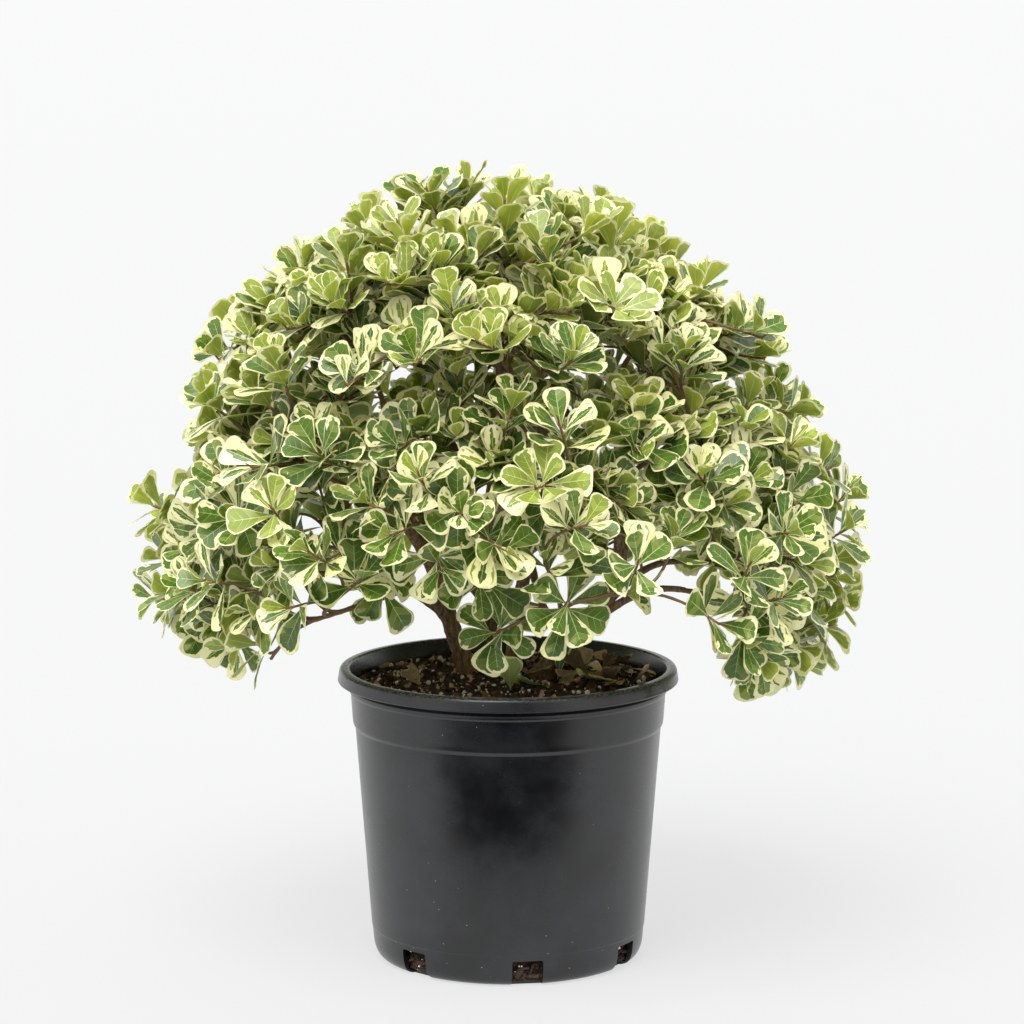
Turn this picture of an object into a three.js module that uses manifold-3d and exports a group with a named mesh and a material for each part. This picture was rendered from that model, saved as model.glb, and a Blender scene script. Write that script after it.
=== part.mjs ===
// Variegated triangle fig in a black nursery pot, in millimetres, +Z up.
// The origin is the centre of the pot's flat underside. The front of the plant faces -Y.
// Pot, soil, stems, boughs and masses of foliage are separate solids with 0.3 mm between them.
import * as THREE from "three";
import { mergeVertices } from "three/addons/utils/BufferGeometryUtils.js";
import Module from "manifold-3d";

const wasm = await Module();
wasm.setup();

// Driving dimensions of the pot: a round nursery pot, 280 mm across its lip and 241 mm high.
const POT_HEIGHT = 241;
const LIP_RADIUS = 139.5;
const FOOT_RADIUS = 100.6;
const NECK_RADIUS = 129.1;
const LIP_UNDERSIDE = 230;
const STEP_HEIGHT = 193;
const WALL = 2.5;
const FLOOR = 3;
const POT_SEGMENTS = 36;
const NOTCHES = 7;
const NOTCH_WIDTH = 25;
const NOTCH_HEIGHT = 22;
const NOTCH_DEPTH = 26;
const FIRST_NOTCH = 278.2;
const SOIL_EDGE = 228;
const SOIL_TOP = 232;

// Neighbouring solids stand this far apart, and mesh corners lie on a grid this fine.
const GAP = 0.3;
const SNAP = 0.002;

// Driving dimensions of the crown: half an ellipsoid over a shorter one, hollow underneath.
const CROWN_CENTRE = new THREE.Vector3(-7, 0, 330);
const CROWN_RADIUS_X = 306;
const CROWN_RADIUS_Y = 296;
const CROWN_RISE = 325;
const CROWN_DROP = 250;

// Lowest leaf tips: at the plant's left and right, and at its front and back.
const HEM_LEFT = 236;
const HEM_RIGHT = 207;
const HEM_FRONT = 262;
const HEM_BACK = 286;

// One leaf stands for three or four real ones of 45 mm, so it is larger than life.
const LEAF_LENGTH = 80;
const LEAF_WIDTH = 66;
const LEAF_THICKNESS = 1.4;
const LEAVES_A_ROSETTE = 7;
const ROSETTES = 100;
const SEED = 20418;

const UP = new THREE.Vector3(0, 0, 1);
const GOLDEN_ANGLE = 180 * (3 - Math.sqrt(5));
const { degToRad: radians, radToDeg: degrees, lerp } = THREE.MathUtils;
const vector = (x, y, z) => new THREE.Vector3(x, y, z);

const PLASTIC = new THREE.MeshStandardMaterial({ color: 0x2b2c2e, roughness: 0.45, metalness: 0 });
const COMPOST = new THREE.MeshStandardMaterial({ color: 0x3a2a1e, roughness: 1, metalness: 0 });
const BARK = new THREE.MeshStandardMaterial({ color: 0x5c4433, roughness: 0.9, metalness: 0 });
const FOLIAGE = new THREE.MeshStandardMaterial({ color: 0x7f9c55, roughness: 0.5, metalness: 0 });

const plant = new THREE.Group();

function addMesh(name, geometry, material) {
  const mesh = new THREE.Mesh(geometry, material.clone());
  mesh.name = name;
  plant.add(mesh);
}

// Seeded numbers between 0 and 1, the same on every run.
function seeded(seed) {
  let state = seed >>> 0;
  return () => {
    state = (Math.imul(state, 1664525) + 1013904223) >>> 0;
    return state / 4294967296;
  };
}

// A closed geometry as a manifold-3d solid, and back.
function toSolid(geometry) {
  const bare = new THREE.BufferGeometry();
  bare.setAttribute("position", geometry.getAttribute("position"));
  bare.setIndex(geometry.index);
  const merged = mergeVertices(bare, SNAP / 2);
  return new wasm.Manifold(
    new wasm.Mesh({
      numProp: 3,
      vertProperties: new Float32Array(merged.attributes.position.array),
      triVerts: new Uint32Array(merged.index.array),
    }),
  );
}

function toGeometry(solid) {
  const mesh = solid.getMesh();
  const snapped = mesh.vertProperties.map((value) => Math.round(value / SNAP) * SNAP);
  const geometry = new THREE.BufferGeometry();
  geometry.setAttribute("position", new THREE.BufferAttribute(snapped, 3));
  geometry.setIndex(new THREE.BufferAttribute(mesh.triVerts, 1));
  const merged = mergeVertices(geometry, SNAP / 10);
  merged.setIndex(openTriangles(merged.index.array));
  merged.computeVertexNormals();
  return merged;
}

// The triangles that snapping has not closed to a line, less any two that now lie back to back.
function openTriangles(index) {
  const kept = new Map();
  for (let i = 0; i < index.length; i += 3) {
    const corners = [...index.slice(i, i + 3)];
    if (new Set(corners).size < 3) continue;
    const key = [...corners].sort((a, b) => a - b).join();
    if (!kept.delete(key)) kept.set(key, corners);
  }
  return [...kept.values()].flat();
}

// The largest body of a solid, so that a scrap left by a cut is dropped.
function largestBody(solid) {
  return solid.decompose().reduce((most, body) => (body.volume() > most.volume() ? body : most));
}

// A LatheGeometry of (radius, height) points, turned so that its axis is Z.
function turned(profile) {
  const points = profile.map(([radius, height]) => new THREE.Vector2(radius, height));
  return new THREE.LatheGeometry(points, POT_SEGMENTS).rotateX(Math.PI / 2);
}

// Outside of the pot, from its foot to the outer edge of its rolled lip.
const OUTER_WALL = [
  [FOOT_RADIUS, 0],
  [FOOT_RADIUS + 6.6, 2.8],
  [FOOT_RADIUS + 10, 10],
  [NECK_RADIUS - 3.7, STEP_HEIGHT],
  [NECK_RADIUS - 1.6, STEP_HEIGHT + 5.5],
  [NECK_RADIUS, LIP_UNDERSIDE - 9],
  [NECK_RADIUS, LIP_UNDERSIDE - 2],
  [LIP_RADIUS, LIP_UNDERSIDE],
];

// Its inner wall from the floor up to the lip, which the soil follows.
const INNER_WALL = [
  [FOOT_RADIUS + 4, FLOOR],
  [NECK_RADIUS - 3.7 - WALL, STEP_HEIGHT],
  [NECK_RADIUS - 1.6 - WALL, STEP_HEIGHT + 6],
  [NECK_RADIUS - 0.5 - WALL, LIP_UNDERSIDE - 4],
];

// Pot: one moulded shell with a rolled lip, a neck band, a step and seven drain notches at its foot.
function potGeometry() {
  const lip = [
    [LIP_RADIUS - 2.2, POT_HEIGHT],
    [LIP_RADIUS - 9.5, POT_HEIGHT],
  ];
  const inside = [...INNER_WALL].reverse();
  let pot = toSolid(turned([[0, 0], ...OUTER_WALL, ...lip, ...inside, [0, FLOOR]]));
  for (let i = 0; i < NOTCHES; i += 1) {
    const cutter = new THREE.BoxGeometry(NOTCH_DEPTH, NOTCH_WIDTH, NOTCH_HEIGHT * 2);
    cutter.translate(FOOT_RADIUS - 3 + NOTCH_DEPTH / 2, 0, 0);
    cutter.rotateZ(radians(FIRST_NOTCH + (i * 360) / NOTCHES));
    pot = pot.subtract(toSolid(cutter));
  }
  return toGeometry(pot);
}

// Soil: fills the pot to just under its lip and is a little higher round the stems.
const SOIL_CROWN_RADIUS = 75;

function soilGeometry() {
  const side = INNER_WALL.map(([radius, height]) => [radius - GAP, height + GAP]);
  const [edgeRadius] = side.pop();
  const top = [
    [edgeRadius, SOIL_EDGE],
    [SOIL_CROWN_RADIUS, SOIL_TOP],
    [0, SOIL_TOP],
  ];
  return turned([[0, FLOOR + GAP], ...side, ...top]);
}

// Stems are cut flat just above the soil, so their curves start a little lower.
const STEM_FOOT = SOIL_TOP + GAP;
const STEM_START = STEM_FOOT - 4;
const ground = new THREE.BoxGeometry(300, 300, 40).translate(0, 0, STEM_FOOT - 20);

// A limb is a cylinder bent along a curve, with its radius given along it. It has flat ends.
function limbGeometry(curve, radiusAt, sides, steps) {
  const geometry = new THREE.CylinderGeometry(1, 1, 1, sides, steps);
  const frames = curve.computeFrenetFrames(steps);
  const position = geometry.attributes.position;
  for (let i = 0; i < position.count; i += 1) {
    const along = THREE.MathUtils.clamp(position.getY(i) + 0.5, 0, 1);
    const k = Math.round(along * steps);
    const point = curve
      .getPointAt(along)
      .addScaledVector(frames.binormals[k], position.getX(i) * radiusAt(along))
      .addScaledVector(frames.normals[k], position.getZ(i) * radiusAt(along));
    position.setXYZ(i, point.x, point.y, point.z);
  }
  return geometry;
}

// A point of the crown: azimuth from +X towards +Y and elevation in degrees, and the share of
// the way from the crown's centre to its outline.
function crownPoint(azimuth, elevation, share) {
  const a = radians(azimuth);
  const e = radians(elevation);
  const height = e > 0 ? CROWN_RISE : CROWN_DROP;
  return vector(
    CROWN_RADIUS_X * Math.cos(e) * Math.cos(a),
    CROWN_RADIUS_Y * Math.cos(e) * Math.sin(a),
    height * Math.sin(e),
  )
    .multiplyScalar(share)
    .add(CROWN_CENTRE);
}

// How far out a point lies: 1 on the crown's outline.
function crownShare(point) {
  const rise = point.z > CROWN_CENTRE.z ? CROWN_RISE : CROWN_DROP;
  return Math.hypot(
    (point.x - CROWN_CENTRE.x) / CROWN_RADIUS_X,
    (point.y - CROWN_CENTRE.y) / CROWN_RADIUS_Y,
    (point.z - CROWN_CENTRE.z) / rise,
  );
}

// The height that no leaf hangs below, by where it is round the plant.
function hemHeight(point) {
  const across = Math.hypot(point.x, point.y) || 1;
  const sideways = point.x / across;
  const side = sideways > 0 ? HEM_RIGHT : HEM_LEFT;
  const middle = point.y > 0 ? HEM_BACK : HEM_FRONT;
  return THREE.MathUtils.lerp(middle, side, sideways * sideways);
}

// Stems rise from the soil close together and lean apart. Each is one leader up to a mass.
const STEMS = {
  stem_left: {
    path: [vector(-31, 20, STEM_START), vector(-45, 19, 266), vector(-56, 16, 305), vector(-76, 14, 352)],
    foot: 8.5,
    mass: "foliage_shoulder_3",
  },
  stem_right: {
    path: [vector(26, -4, STEM_START), vector(42, -4, 256), vector(68, 0, 282), vector(90, 6, 322)],
    foot: 9.5,
    mass: "foliage_shoulder_1",
  },
  stem_centre: {
    path: [vector(2, 10, STEM_START), vector(8, 14, 280), vector(20, 20, 350), vector(36, 22, 410)],
    foot: 7,
    mass: "foliage_top",
  },
  stem_back: {
    path: [vector(-8, 42, STEM_START), vector(-16, 52, 272), vector(-20, 66, 320), vector(-14, 84, 380)],
    foot: 6.5,
    mass: "foliage_shoulder_2",
  },
};

// Masses of foliage stand in rings round the crown, with one at the top. Azimuth and elevation
// are in degrees. A bough ends, and its mass's heart lies, at these shares of the way out.
const RINGS = [
  { ring: "skirt", count: 7, first: 25.7, elevation: -6, bough: 0.54, heart: 0.78 },
  { ring: "side", count: 6, first: 30, elevation: 25, bough: 0.46, heart: 0.66 },
  { ring: "shoulder", count: 4, first: 0, elevation: 52, bough: 0.5, heart: 0.78 },
  { ring: "top", count: 1, first: 0, elevation: 90, bough: 0.52, heart: 0.76 },
];

function ringMasses() {
  const masses = [];
  for (const { ring, count, first, elevation, bough, heart } of RINGS) {
    for (let i = 0; i < count; i += 1) {
      const azimuth = first + (i * 360) / count;
      masses.push({
        name: count > 1 ? `foliage_${ring}_${i + 1}` : `foliage_${ring}`,
        ring,
        azimuth,
        start: crownPoint(azimuth, elevation, bough),
        heart: crownPoint(azimuth, elevation, heart),
        twigs: [],
      });
    }
  }
  return masses;
}

const MASSES = ringMasses();
const massNamed = (name) => MASSES.find((mass) => mass.name === name);

// The stem that carries a bough, by the side of the plant that the bough grows to.
function stemFor(azimuth) {
  if (azimuth < 50 || azimuth > 290) return "stem_right";
  if (azimuth < 130) return "stem_back";
  if (azimuth < 250) return "stem_left";
  return "stem_centre";
}

// Radii fall evenly along a limb, and a stem flares at its foot as well.
const STEM_TIP_RADIUS = 2.8;
const BOUGH_RADIUS = 4.2;
const BOUGH_TIP_RADIUS = 2.4;
const FLARE = 0.45;
const FLARE_LENGTH = 0.08;

function taper(from, to) {
  return (along) => lerp(from, to, along);
}

function stemTaper(foot) {
  return (along) => {
    const flare = FLARE * Math.max(0, 1 - along / FLARE_LENGTH) ** 2;
    return lerp(foot, STEM_TIP_RADIUS, along ** 0.8) * (1 + flare);
  };
}

// A limb is cut clear of the ground and of the limbs made before it, so a bough ends in a saddle.
const LIMBS = [];

function addLimb(name, curve, radiusAt, sides, steps) {
  let solid = toSolid(limbGeometry(curve, radiusAt, sides, steps)).subtract(toSolid(ground));
  for (const other of LIMBS) {
    const clear = (along) => other.radiusAt(along) + GAP;
    solid = solid.subtract(toSolid(limbGeometry(other.curve, clear, other.sides, other.steps)));
  }
  LIMBS.push({ name, curve, radiusAt, sides, steps });
  addMesh(name, toGeometry(largestBody(solid)), BARK);
}

const STEM_SIDES = 8;
const STEM_STEPS = 12;

function addStems() {
  for (const [name, { path, foot, mass }] of Object.entries(STEMS)) {
    const led = massNamed(mass);
    const curve = new THREE.CatmullRomCurve3([...path, led.start]);
    led.approach = curve.getTangentAt(1);
    addLimb(name, curve, stemTaper(foot), STEM_SIDES, STEM_STEPS);
  }
}

// A bough leaves its stem a little upwards, arches over and ends pointing at its mass's heart.
// How high up the stem it starts goes by its ring and varies a little round the plant.
const BOUGH_SIDES = 5;
const BOUGH_STEPS = 6;
const BOUGH_START = { skirt: 0.2, side: 0.42, shoulder: 0.62 };
const START_SPREAD = 0.05;

function addBoughs() {
  for (const mass of MASSES.filter(({ approach }) => !approach)) {
    const stem = LIMBS.find(({ name }) => name === stemFor(mass.azimuth));
    const along = BOUGH_START[mass.ring] + START_SPREAD * Math.sin(radians(mass.azimuth * 3));
    const root = stem.curve.getPointAt(along);
    const reach = root.distanceTo(mass.start);
    const straight = mass.start.clone().sub(root).normalize();
    const leaving = stem.curve.getTangentAt(along).lerp(straight, 0.45).normalize();
    mass.approach = mass.heart.clone().sub(mass.start).normalize();
    const curve = new THREE.CubicBezierCurve3(
      root,
      root.clone().addScaledVector(leaving, reach * 0.4),
      mass.start.clone().addScaledVector(mass.approach, -reach * 0.32),
      mass.start,
    );
    const name = mass.name.replace("foliage", "bough");
    addLimb(name, curve, taper(BOUGH_RADIUS, BOUGH_TIP_RADIUS), BOUGH_SIDES, BOUGH_STEPS);
  }
}

// A mass's own space is what lies nearer to its heart than to any other, less a thin wall.
const SPACE_MARGIN = 0.5;

function inOwnSpace(mass, point) {
  const own = point.distanceToSquared(mass.heart);
  return MASSES.every((other) => {
    if (other === mass) return true;
    const margin = 2 * SPACE_MARGIN * mass.heart.distanceTo(other.heart);
    return point.distanceToSquared(other.heart) - own > margin;
  });
}

// Limbs are felt at round samples along them.
const SAMPLE_SPACING = 4;

function sampleLimbs() {
  for (const limb of LIMBS) {
    const count = Math.ceil(limb.curve.getLength() / SAMPLE_SPACING);
    limb.samples = Array.from({ length: count + 1 }, (_, i) => ({
      centre: limb.curve.getPointAt(i / count),
      radius: limb.radiusAt(i / count),
    }));
  }
}

function clearOfLimbs(point, margin) {
  return LIMBS.every(({ samples }) =>
    samples.every(({ centre, radius }) => point.distanceTo(centre) > radius + margin),
  );
}

const POT_CLEARANCE = 12;

function clearOfPot(point) {
  const across = Math.hypot(point.x, point.y);
  return point.z > POT_HEIGHT + POT_CLEARANCE || across > LIP_RADIUS + POT_CLEARANCE;
}

function isFree(mass, point, margin) {
  return inOwnSpace(mass, point) && clearOfPot(point) && clearOfLimbs(point, margin);
}

// A leaf: a blunt triangle, widest near its tip, folded a little upwards along its midrib.
// Its corners are root, right shoulder, tip, left shoulder and the lowest point of its underside.
const SHOULDER = 0.72;
const SHOULDER_RISE = 0.1;
const TIP_DROP = 0.04;
const THICKEST = 0.6;
const UPPER_FACES = [0, 1, 2, 0, 2, 3];
const LOWER_FACES = [0, 4, 1, 1, 4, 2, 2, 4, 3, 3, 4, 0];

function leafGeometry(place, length, width) {
  const shoulder = [width / 2, SHOULDER * length, SHOULDER_RISE * length];
  const corners = [
    [0, 0, 0],
    shoulder,
    [0, length, -TIP_DROP * length],
    [-shoulder[0], shoulder[1], shoulder[2]],
    [0, THICKEST * length, -THICKEST * TIP_DROP * length - LEAF_THICKNESS],
  ];
  const geometry = new THREE.BufferGeometry();
  geometry.setAttribute("position", new THREE.Float32BufferAttribute(corners.flat(), 3));
  geometry.setIndex([...UPPER_FACES, ...LOWER_FACES]);
  return geometry.applyMatrix4(place);
}

// The same leaf as two flat halves, by which it is tested for room outside its twig.
const ROOT_DEPTH = 2;

function leafHalves(place, length, width) {
  const root = vector(0, ROOT_DEPTH, 0).applyMatrix4(place);
  const tip = vector(0, length, -TIP_DROP * length).applyMatrix4(place);
  return [-1, 1].map((side) => {
    const shoulder = vector((side * width) / 2, SHOULDER * length, SHOULDER_RISE * length);
    return new THREE.Triangle(root, shoulder.applyMatrix4(place), tip);
  });
}

// Points spread over a half leaf, its corners among them.
function halfPoints({ a: root, b: shoulder, c: tip }) {
  const between = (from, to, share) => from.clone().lerp(to, share);
  const inner = [0.25, 0.5, 0.75].map((share) => between(root, tip, share));
  const outer = [0.33, 0.66].map((share) => between(root, shoulder, share));
  return [...inner, ...outer, shoulder, tip, between(shoulder, tip, 0.5)];
}

// Whether an edge of one half leaf passes through another half leaf.
function pierces(half, other) {
  return [
    [half.a, half.b],
    [half.b, half.c],
    [half.c, half.a],
  ].some(([from, to]) => {
    const ray = new THREE.Ray(from, to.clone().sub(from).normalize());
    const hit = ray.intersectTriangle(other.a, other.b, other.c, false, new THREE.Vector3());
    return hit !== null && hit.distanceTo(from) < from.distanceTo(to);
  });
}

function crosses(halves, others) {
  return halves.some((half) => others.some((other) => pierces(half, other) || pierces(other, half)));
}

// A leaf's place: its root, the way it points and the way its upper face looks.
function leafPlace(root, direction, facing) {
  const across = new THREE.Vector3().crossVectors(direction, facing).normalize();
  const face = new THREE.Vector3().crossVectors(across, direction);
  return new THREE.Matrix4().makeBasis(across, direction, face).setPosition(root);
}

// A leaf fits if it stays in its mass's space, in the crown and above its hem, and crosses no leaf.
const LEAF_MARGIN = 5;

function leafFits(mass, halves) {
  const inside = (point) =>
    crownShare(point) <= 1 && point.z > hemHeight(point) && isFree(mass, point, LEAF_MARGIN);
  if (!halves.flatMap(halfPoints).every(inside)) return false;
  return !mass.halves.some((others) => crosses(halves, others));
}

// Where a leaf has no room it tries to turn round the twig, to lean in or out, and to be smaller.
const TURNS = [0, 14, -14, 28, -28, 42, -42];
const LEANS = [0, 15, -15, 30, -30, 45];
const SIZES = [1, 0.84, 0.7];
const TRIES = SIZES.flatMap((scale) =>
  LEANS.flatMap((lean) => TURNS.map((turn) => ({ scale, lean, turn }))),
);

// A rosette: leaves in a spiral round the end of a twig, the young ones upright, the old ones wide.
const INNER_OPENING = 30;
const OUTER_OPENING = 80;
const OPENING_SPREAD = 12;
const LEAF_SPACING = 3.2;
const SMALLEST = 0.86;

function addRosette(mass, tip, axis, random) {
  const side = new THREE.Vector3().crossVectors(axis, UP);
  if (side.length() < 0.1) side.set(1, 0, 0);
  side.normalize();
  const phase = random() * 360;
  for (let k = 0; k < LEAVES_A_ROSETTE; k += 1) {
    const root = tip.clone().addScaledVector(axis, -LEAF_SPACING * k - 1);
    const usual = lerp(INNER_OPENING, OUTER_OPENING, k / (LEAVES_A_ROSETTE - 1));
    const opening = usual + OPENING_SPREAD * (random() - 0.5);
    const size = lerp(SMALLEST, 1, random());
    TRIES.some(({ scale, lean, turn }) => {
      const open = radians(opening + lean);
      const around = radians(phase + k * GOLDEN_ANGLE + turn);
      const outward = side.clone().applyAxisAngle(axis, around);
      const ahead = axis.clone().multiplyScalar(Math.cos(open));
      const direction = ahead.addScaledVector(outward, Math.sin(open));
      const inwards = axis.clone().multiplyScalar(Math.sin(open));
      const facing = inwards.addScaledVector(outward, -Math.cos(open));
      const place = leafPlace(root, direction, facing);
      const length = LEAF_LENGTH * size * scale;
      const width = LEAF_WIDTH * size * scale;
      const halves = leafHalves(place, length, width);
      if (!leafFits(mass, halves)) return false;
      mass.halves.push(halves);
      mass.leaves.push(leafGeometry(place, length, width));
      return true;
    });
  }
}

// Twig tips are spread evenly over the crown at the golden angle, from its top down to a height
// on the unit sphere. Each belongs to the mass whose space it is in and is drawn towards its heart.
const LOWEST_TIP = -0.45;
const TIP_SHARE = 0.76;
const TIP_SHARE_SPREAD = 0.08;
const DRAWN_IN = 0.12;
const TIP_ABOVE_HEM = 10;

function spreadTips() {
  const random = seeded(SEED);
  for (let i = 0; i < ROSETTES; i += 1) {
    const height = lerp(1, LOWEST_TIP, (i + 0.5) / ROSETTES);
    const share = TIP_SHARE + TIP_SHARE_SPREAD * random();
    const tip = crownPoint(i * GOLDEN_ANGLE, degrees(Math.asin(height)), share);
    const nearest = MASSES.reduce((best, mass) =>
      mass.heart.distanceTo(tip) < best.heart.distanceTo(tip) ? mass : best,
    );
    if (tip.z > hemHeight(tip) + TIP_ABOVE_HEM) nearest.twigs.push(tip.lerp(nearest.heart, DRAWN_IN));
  }
}

// Inside a mass, stem and twigs are three-sided and bend once.
const MASS_STEM_RADIUS = 2.2;
const TWIG_RADIUS = 1.7;
const TWIG_TIP_RADIUS = 1.1;
const TWIG_SIDES = 3;
const TWIG_STEPS = 2;
const TWIG_MARGIN = 3;
const FIRST_TWIG = 0.35;
const LAST_TWIG = 0.95;

// A twig leaves one way and bends to its tip.
function twigCurve(root, leaving, tip) {
  const bend = root.clone().addScaledVector(leaving, root.distanceTo(tip) / 2);
  return new THREE.QuadraticBezierCurve3(root, bend, tip);
}

function twigSolid(curve, radius, tipRadius) {
  return toSolid(limbGeometry(curve, taper(radius, tipRadius), TWIG_SIDES, TWIG_STEPS));
}

// A mass: one stem on from its limb, twigs that leave it in turn, and a rosette on each twig's end.
function grownMass(mass, random) {
  mass.leaves = [];
  mass.halves = [];
  const root = mass.start.clone().addScaledVector(mass.approach, GAP);
  const stem = twigCurve(root, mass.approach, mass.heart);
  const solids = [twigSolid(stem, MASS_STEM_RADIUS, TWIG_RADIUS)];
  mass.twigs.forEach((tip, k) => {
    const along = lerp(FIRST_TWIG, LAST_TWIG, (k + 0.5) / mass.twigs.length);
    const twig = twigCurve(stem.getPointAt(along), stem.getTangentAt(along), tip);
    const free = [0.5, 0.75, 1].every((t) => isFree(mass, twig.getPointAt(t), TWIG_MARGIN));
    if (!free) return;
    solids.push(twigSolid(twig, TWIG_RADIUS, TWIG_TIP_RADIUS));
    const outward = tip.clone().sub(CROWN_CENTRE).normalize();
    const axis = twig.getTangentAt(1).lerp(outward, 0.5).addScaledVector(UP, 0.25);
    addRosette(mass, tip, axis.normalize(), random);
  });
  solids.push(...mass.leaves.map(toSolid));
  return toGeometry(largestBody(wasm.Manifold.union(solids)));
}

// Whether a surface is one closed body, on which every edge borders two triangles.
function isOneBody(geometry) {
  const borders = new Map();
  const index = geometry.index.array;
  for (let i = 0; i < index.length; i += 1) {
    const next = i % 3 === 2 ? i - 2 : i + 1;
    const edge = [index[i], index[next]].sort((a, b) => a - b).join();
    borders.set(edge, (borders.get(edge) ?? 0) + 1);
  }
  const closed = [...borders.values()].every((count) => count === 2);
  return closed && toSolid(geometry).decompose().length === 1;
}

// Where two leaves happen to meet edge on edge, the mass is grown again from the next seed.
function addMass(mass, index) {
  let seed = SEED + 101 * (index + 1);
  let geometry = grownMass(mass, seeded(seed));
  while (!isOneBody(geometry)) {
    seed += 1;
    geometry = grownMass(mass, seeded(seed));
  }
  addMesh(mass.name, geometry, FOLIAGE);
}

addMesh("pot", potGeometry(), PLASTIC);
addMesh("soil", soilGeometry(), COMPOST);
addStems();
addBoughs();
sampleLimbs();
spreadTips();
MASSES.forEach(addMass);

export default plant;
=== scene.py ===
import math

import bmesh
import bpy
import numpy as np
from mathutils import Matrix, Vector, noise


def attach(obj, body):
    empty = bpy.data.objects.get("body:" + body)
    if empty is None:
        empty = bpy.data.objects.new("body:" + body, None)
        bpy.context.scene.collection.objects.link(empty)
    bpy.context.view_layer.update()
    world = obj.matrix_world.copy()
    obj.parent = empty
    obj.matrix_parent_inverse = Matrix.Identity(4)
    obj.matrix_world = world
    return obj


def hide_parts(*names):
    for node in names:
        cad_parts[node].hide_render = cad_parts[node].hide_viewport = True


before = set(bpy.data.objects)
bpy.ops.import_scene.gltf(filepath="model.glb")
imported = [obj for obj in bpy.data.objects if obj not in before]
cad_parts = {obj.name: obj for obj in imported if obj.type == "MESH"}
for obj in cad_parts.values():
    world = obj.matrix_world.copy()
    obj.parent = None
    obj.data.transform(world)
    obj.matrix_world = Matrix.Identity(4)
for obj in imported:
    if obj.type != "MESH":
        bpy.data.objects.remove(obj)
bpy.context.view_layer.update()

# Camera: the plant was pictured from three metres with a long lens, from just above its top and
# looking a little down. It sees as far as the paper reaches.
CAMERA_PLACE = (0.00316, -3.1, 0.84919)
CAMERA_DOWN = math.radians(8.818)
LENS_MM = 135.58
SENSOR_MM = 36
PAPER_SIZE = 60


def add_object(name, data):
    """An object of the scene with that name and data."""
    added = bpy.data.objects.new(name, data)
    bpy.context.scene.collection.objects.link(added)
    return added


camera = add_object("camera", bpy.data.cameras.new("camera"))
camera.data.lens = LENS_MM
camera.data.sensor_width = SENSOR_MM
camera.data.clip_end = 2 * PAPER_SIZE
camera.location = CAMERA_PLACE
camera.rotation_euler = (math.pi / 2 - CAMERA_DOWN, 0, 0)
bpy.context.scene.camera = camera
bpy.context.scene.view_settings.view_transform = "Standard"

# Studio floor: seamless matte white paper, which scatters nearly all its light. A faint glow
# stands for the light that the room throws back on it.
PAPER_GLOW = 0.66


def linear(hex_colour):
    """An sRGB hex value such as "8aa16b" as linear red, green, blue and alpha."""
    channels = [int(hex_colour[i : i + 2], 16) / 255 for i in (0, 2, 4)]
    return [c / 12.92 if c <= 0.04045 else ((c + 0.055) / 1.055) ** 2.4 for c in channels] + [1]


def add_node(material, kind, inputs=None, stops=(), **settings):
    """Adds a node. Each of its inputs gets a value, or the output socket that feeds it.

    The stops of a colour ramp are pairs of a place from 0 to 1 and a hex colour.
    """
    added = material.node_tree.nodes.new(kind)
    for name, value in settings.items():
        setattr(added, name, value)
    for name, value in (inputs or {}).items():
        if isinstance(value, bpy.types.NodeSocket):
            material.node_tree.links.new(value, added.inputs[name])
        else:
            added.inputs[name].default_value = value
    for k, (stop, colour) in enumerate(stops):
        elements = added.color_ramp.elements
        element = elements[k] if k < len(elements) else elements.new(stop)
        element.position = stop
        element.color = linear(colour)
    return added


def surface(name, values, linked=None):
    """A material with one Principled shader. linked(material) gives the outputs that feed it."""
    material = bpy.data.materials.new(name)
    material.use_nodes = True
    shader = material.node_tree.nodes["Principled BSDF"]
    for socket, value in values.items():
        shader.inputs[socket].default_value = value
    for socket, output in (linked(material) if linked else {}).items():
        material.node_tree.links.new(output, shader.inputs[socket])
    return material


def flat_sheet(name, material, half_width, front, back, height):
    """A level sheet in metres, from its front edge to its back edge."""
    flat = bmesh.new()
    bmesh.ops.create_grid(flat, x_segments=1, y_segments=1, size=1)
    bmesh.ops.scale(flat, vec=(half_width, (back - front) / 2, 1), verts=flat.verts)
    bmesh.ops.translate(flat, vec=(0, (front + back) / 2, height), verts=flat.verts)
    mesh = bpy.data.meshes.new(name)
    flat.to_mesh(mesh)
    flat.free()
    mesh.materials.append(material)
    return add_object(name, mesh)


paper = surface(
    "matte_white_paper",
    {"Base Color": linear("6a6b6a"), "Roughness": 0.95, "Specular IOR Level": 0.1,
     "Emission Color": linear("fbfcfc"), "Emission Strength": PAPER_GLOW},
)
floor = flat_sheet("paper_floor", paper, PAPER_SIZE, -PAPER_SIZE, PAPER_SIZE, 0)

# Studio card: black felt that lies on the paper in front of what the picture shows. Only gloss
# sees it, and it gives the middle of the pot its dark reflection.
CARD_HALF_WIDTH = 0.42
CARD_FROM = -1.5
CARD_TO = -0.3
CARD_HEIGHT = 0.004

felt = surface(
    "black_felt", {"Base Color": linear("0c0c0c"), "Roughness": 1, "Specular IOR Level": 0}
)
card = flat_sheet("black_card", felt, CARD_HALF_WIDTH, CARD_FROM, CARD_TO, CARD_HEIGHT)
card.visible_camera = card.visible_diffuse = card.visible_shadow = False

# Studio light: the room is white at the sides, behind and above, and dim low in front, under the
# camera. A broad soft lamp shines from above and in front, a little from the left.
ROOM_LIGHT = 1.08
FRONT_LIGHT = 0.12
LOW_FRONT = (0, -0.94, -0.34)
DIM_FROM = 0.62
DIMMEST_FROM = 0.84
KEY_LIGHT = 3.3
KEY_SOFTNESS = math.radians(44)
KEY_TILT = math.radians(34), math.radians(-14), 0

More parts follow.
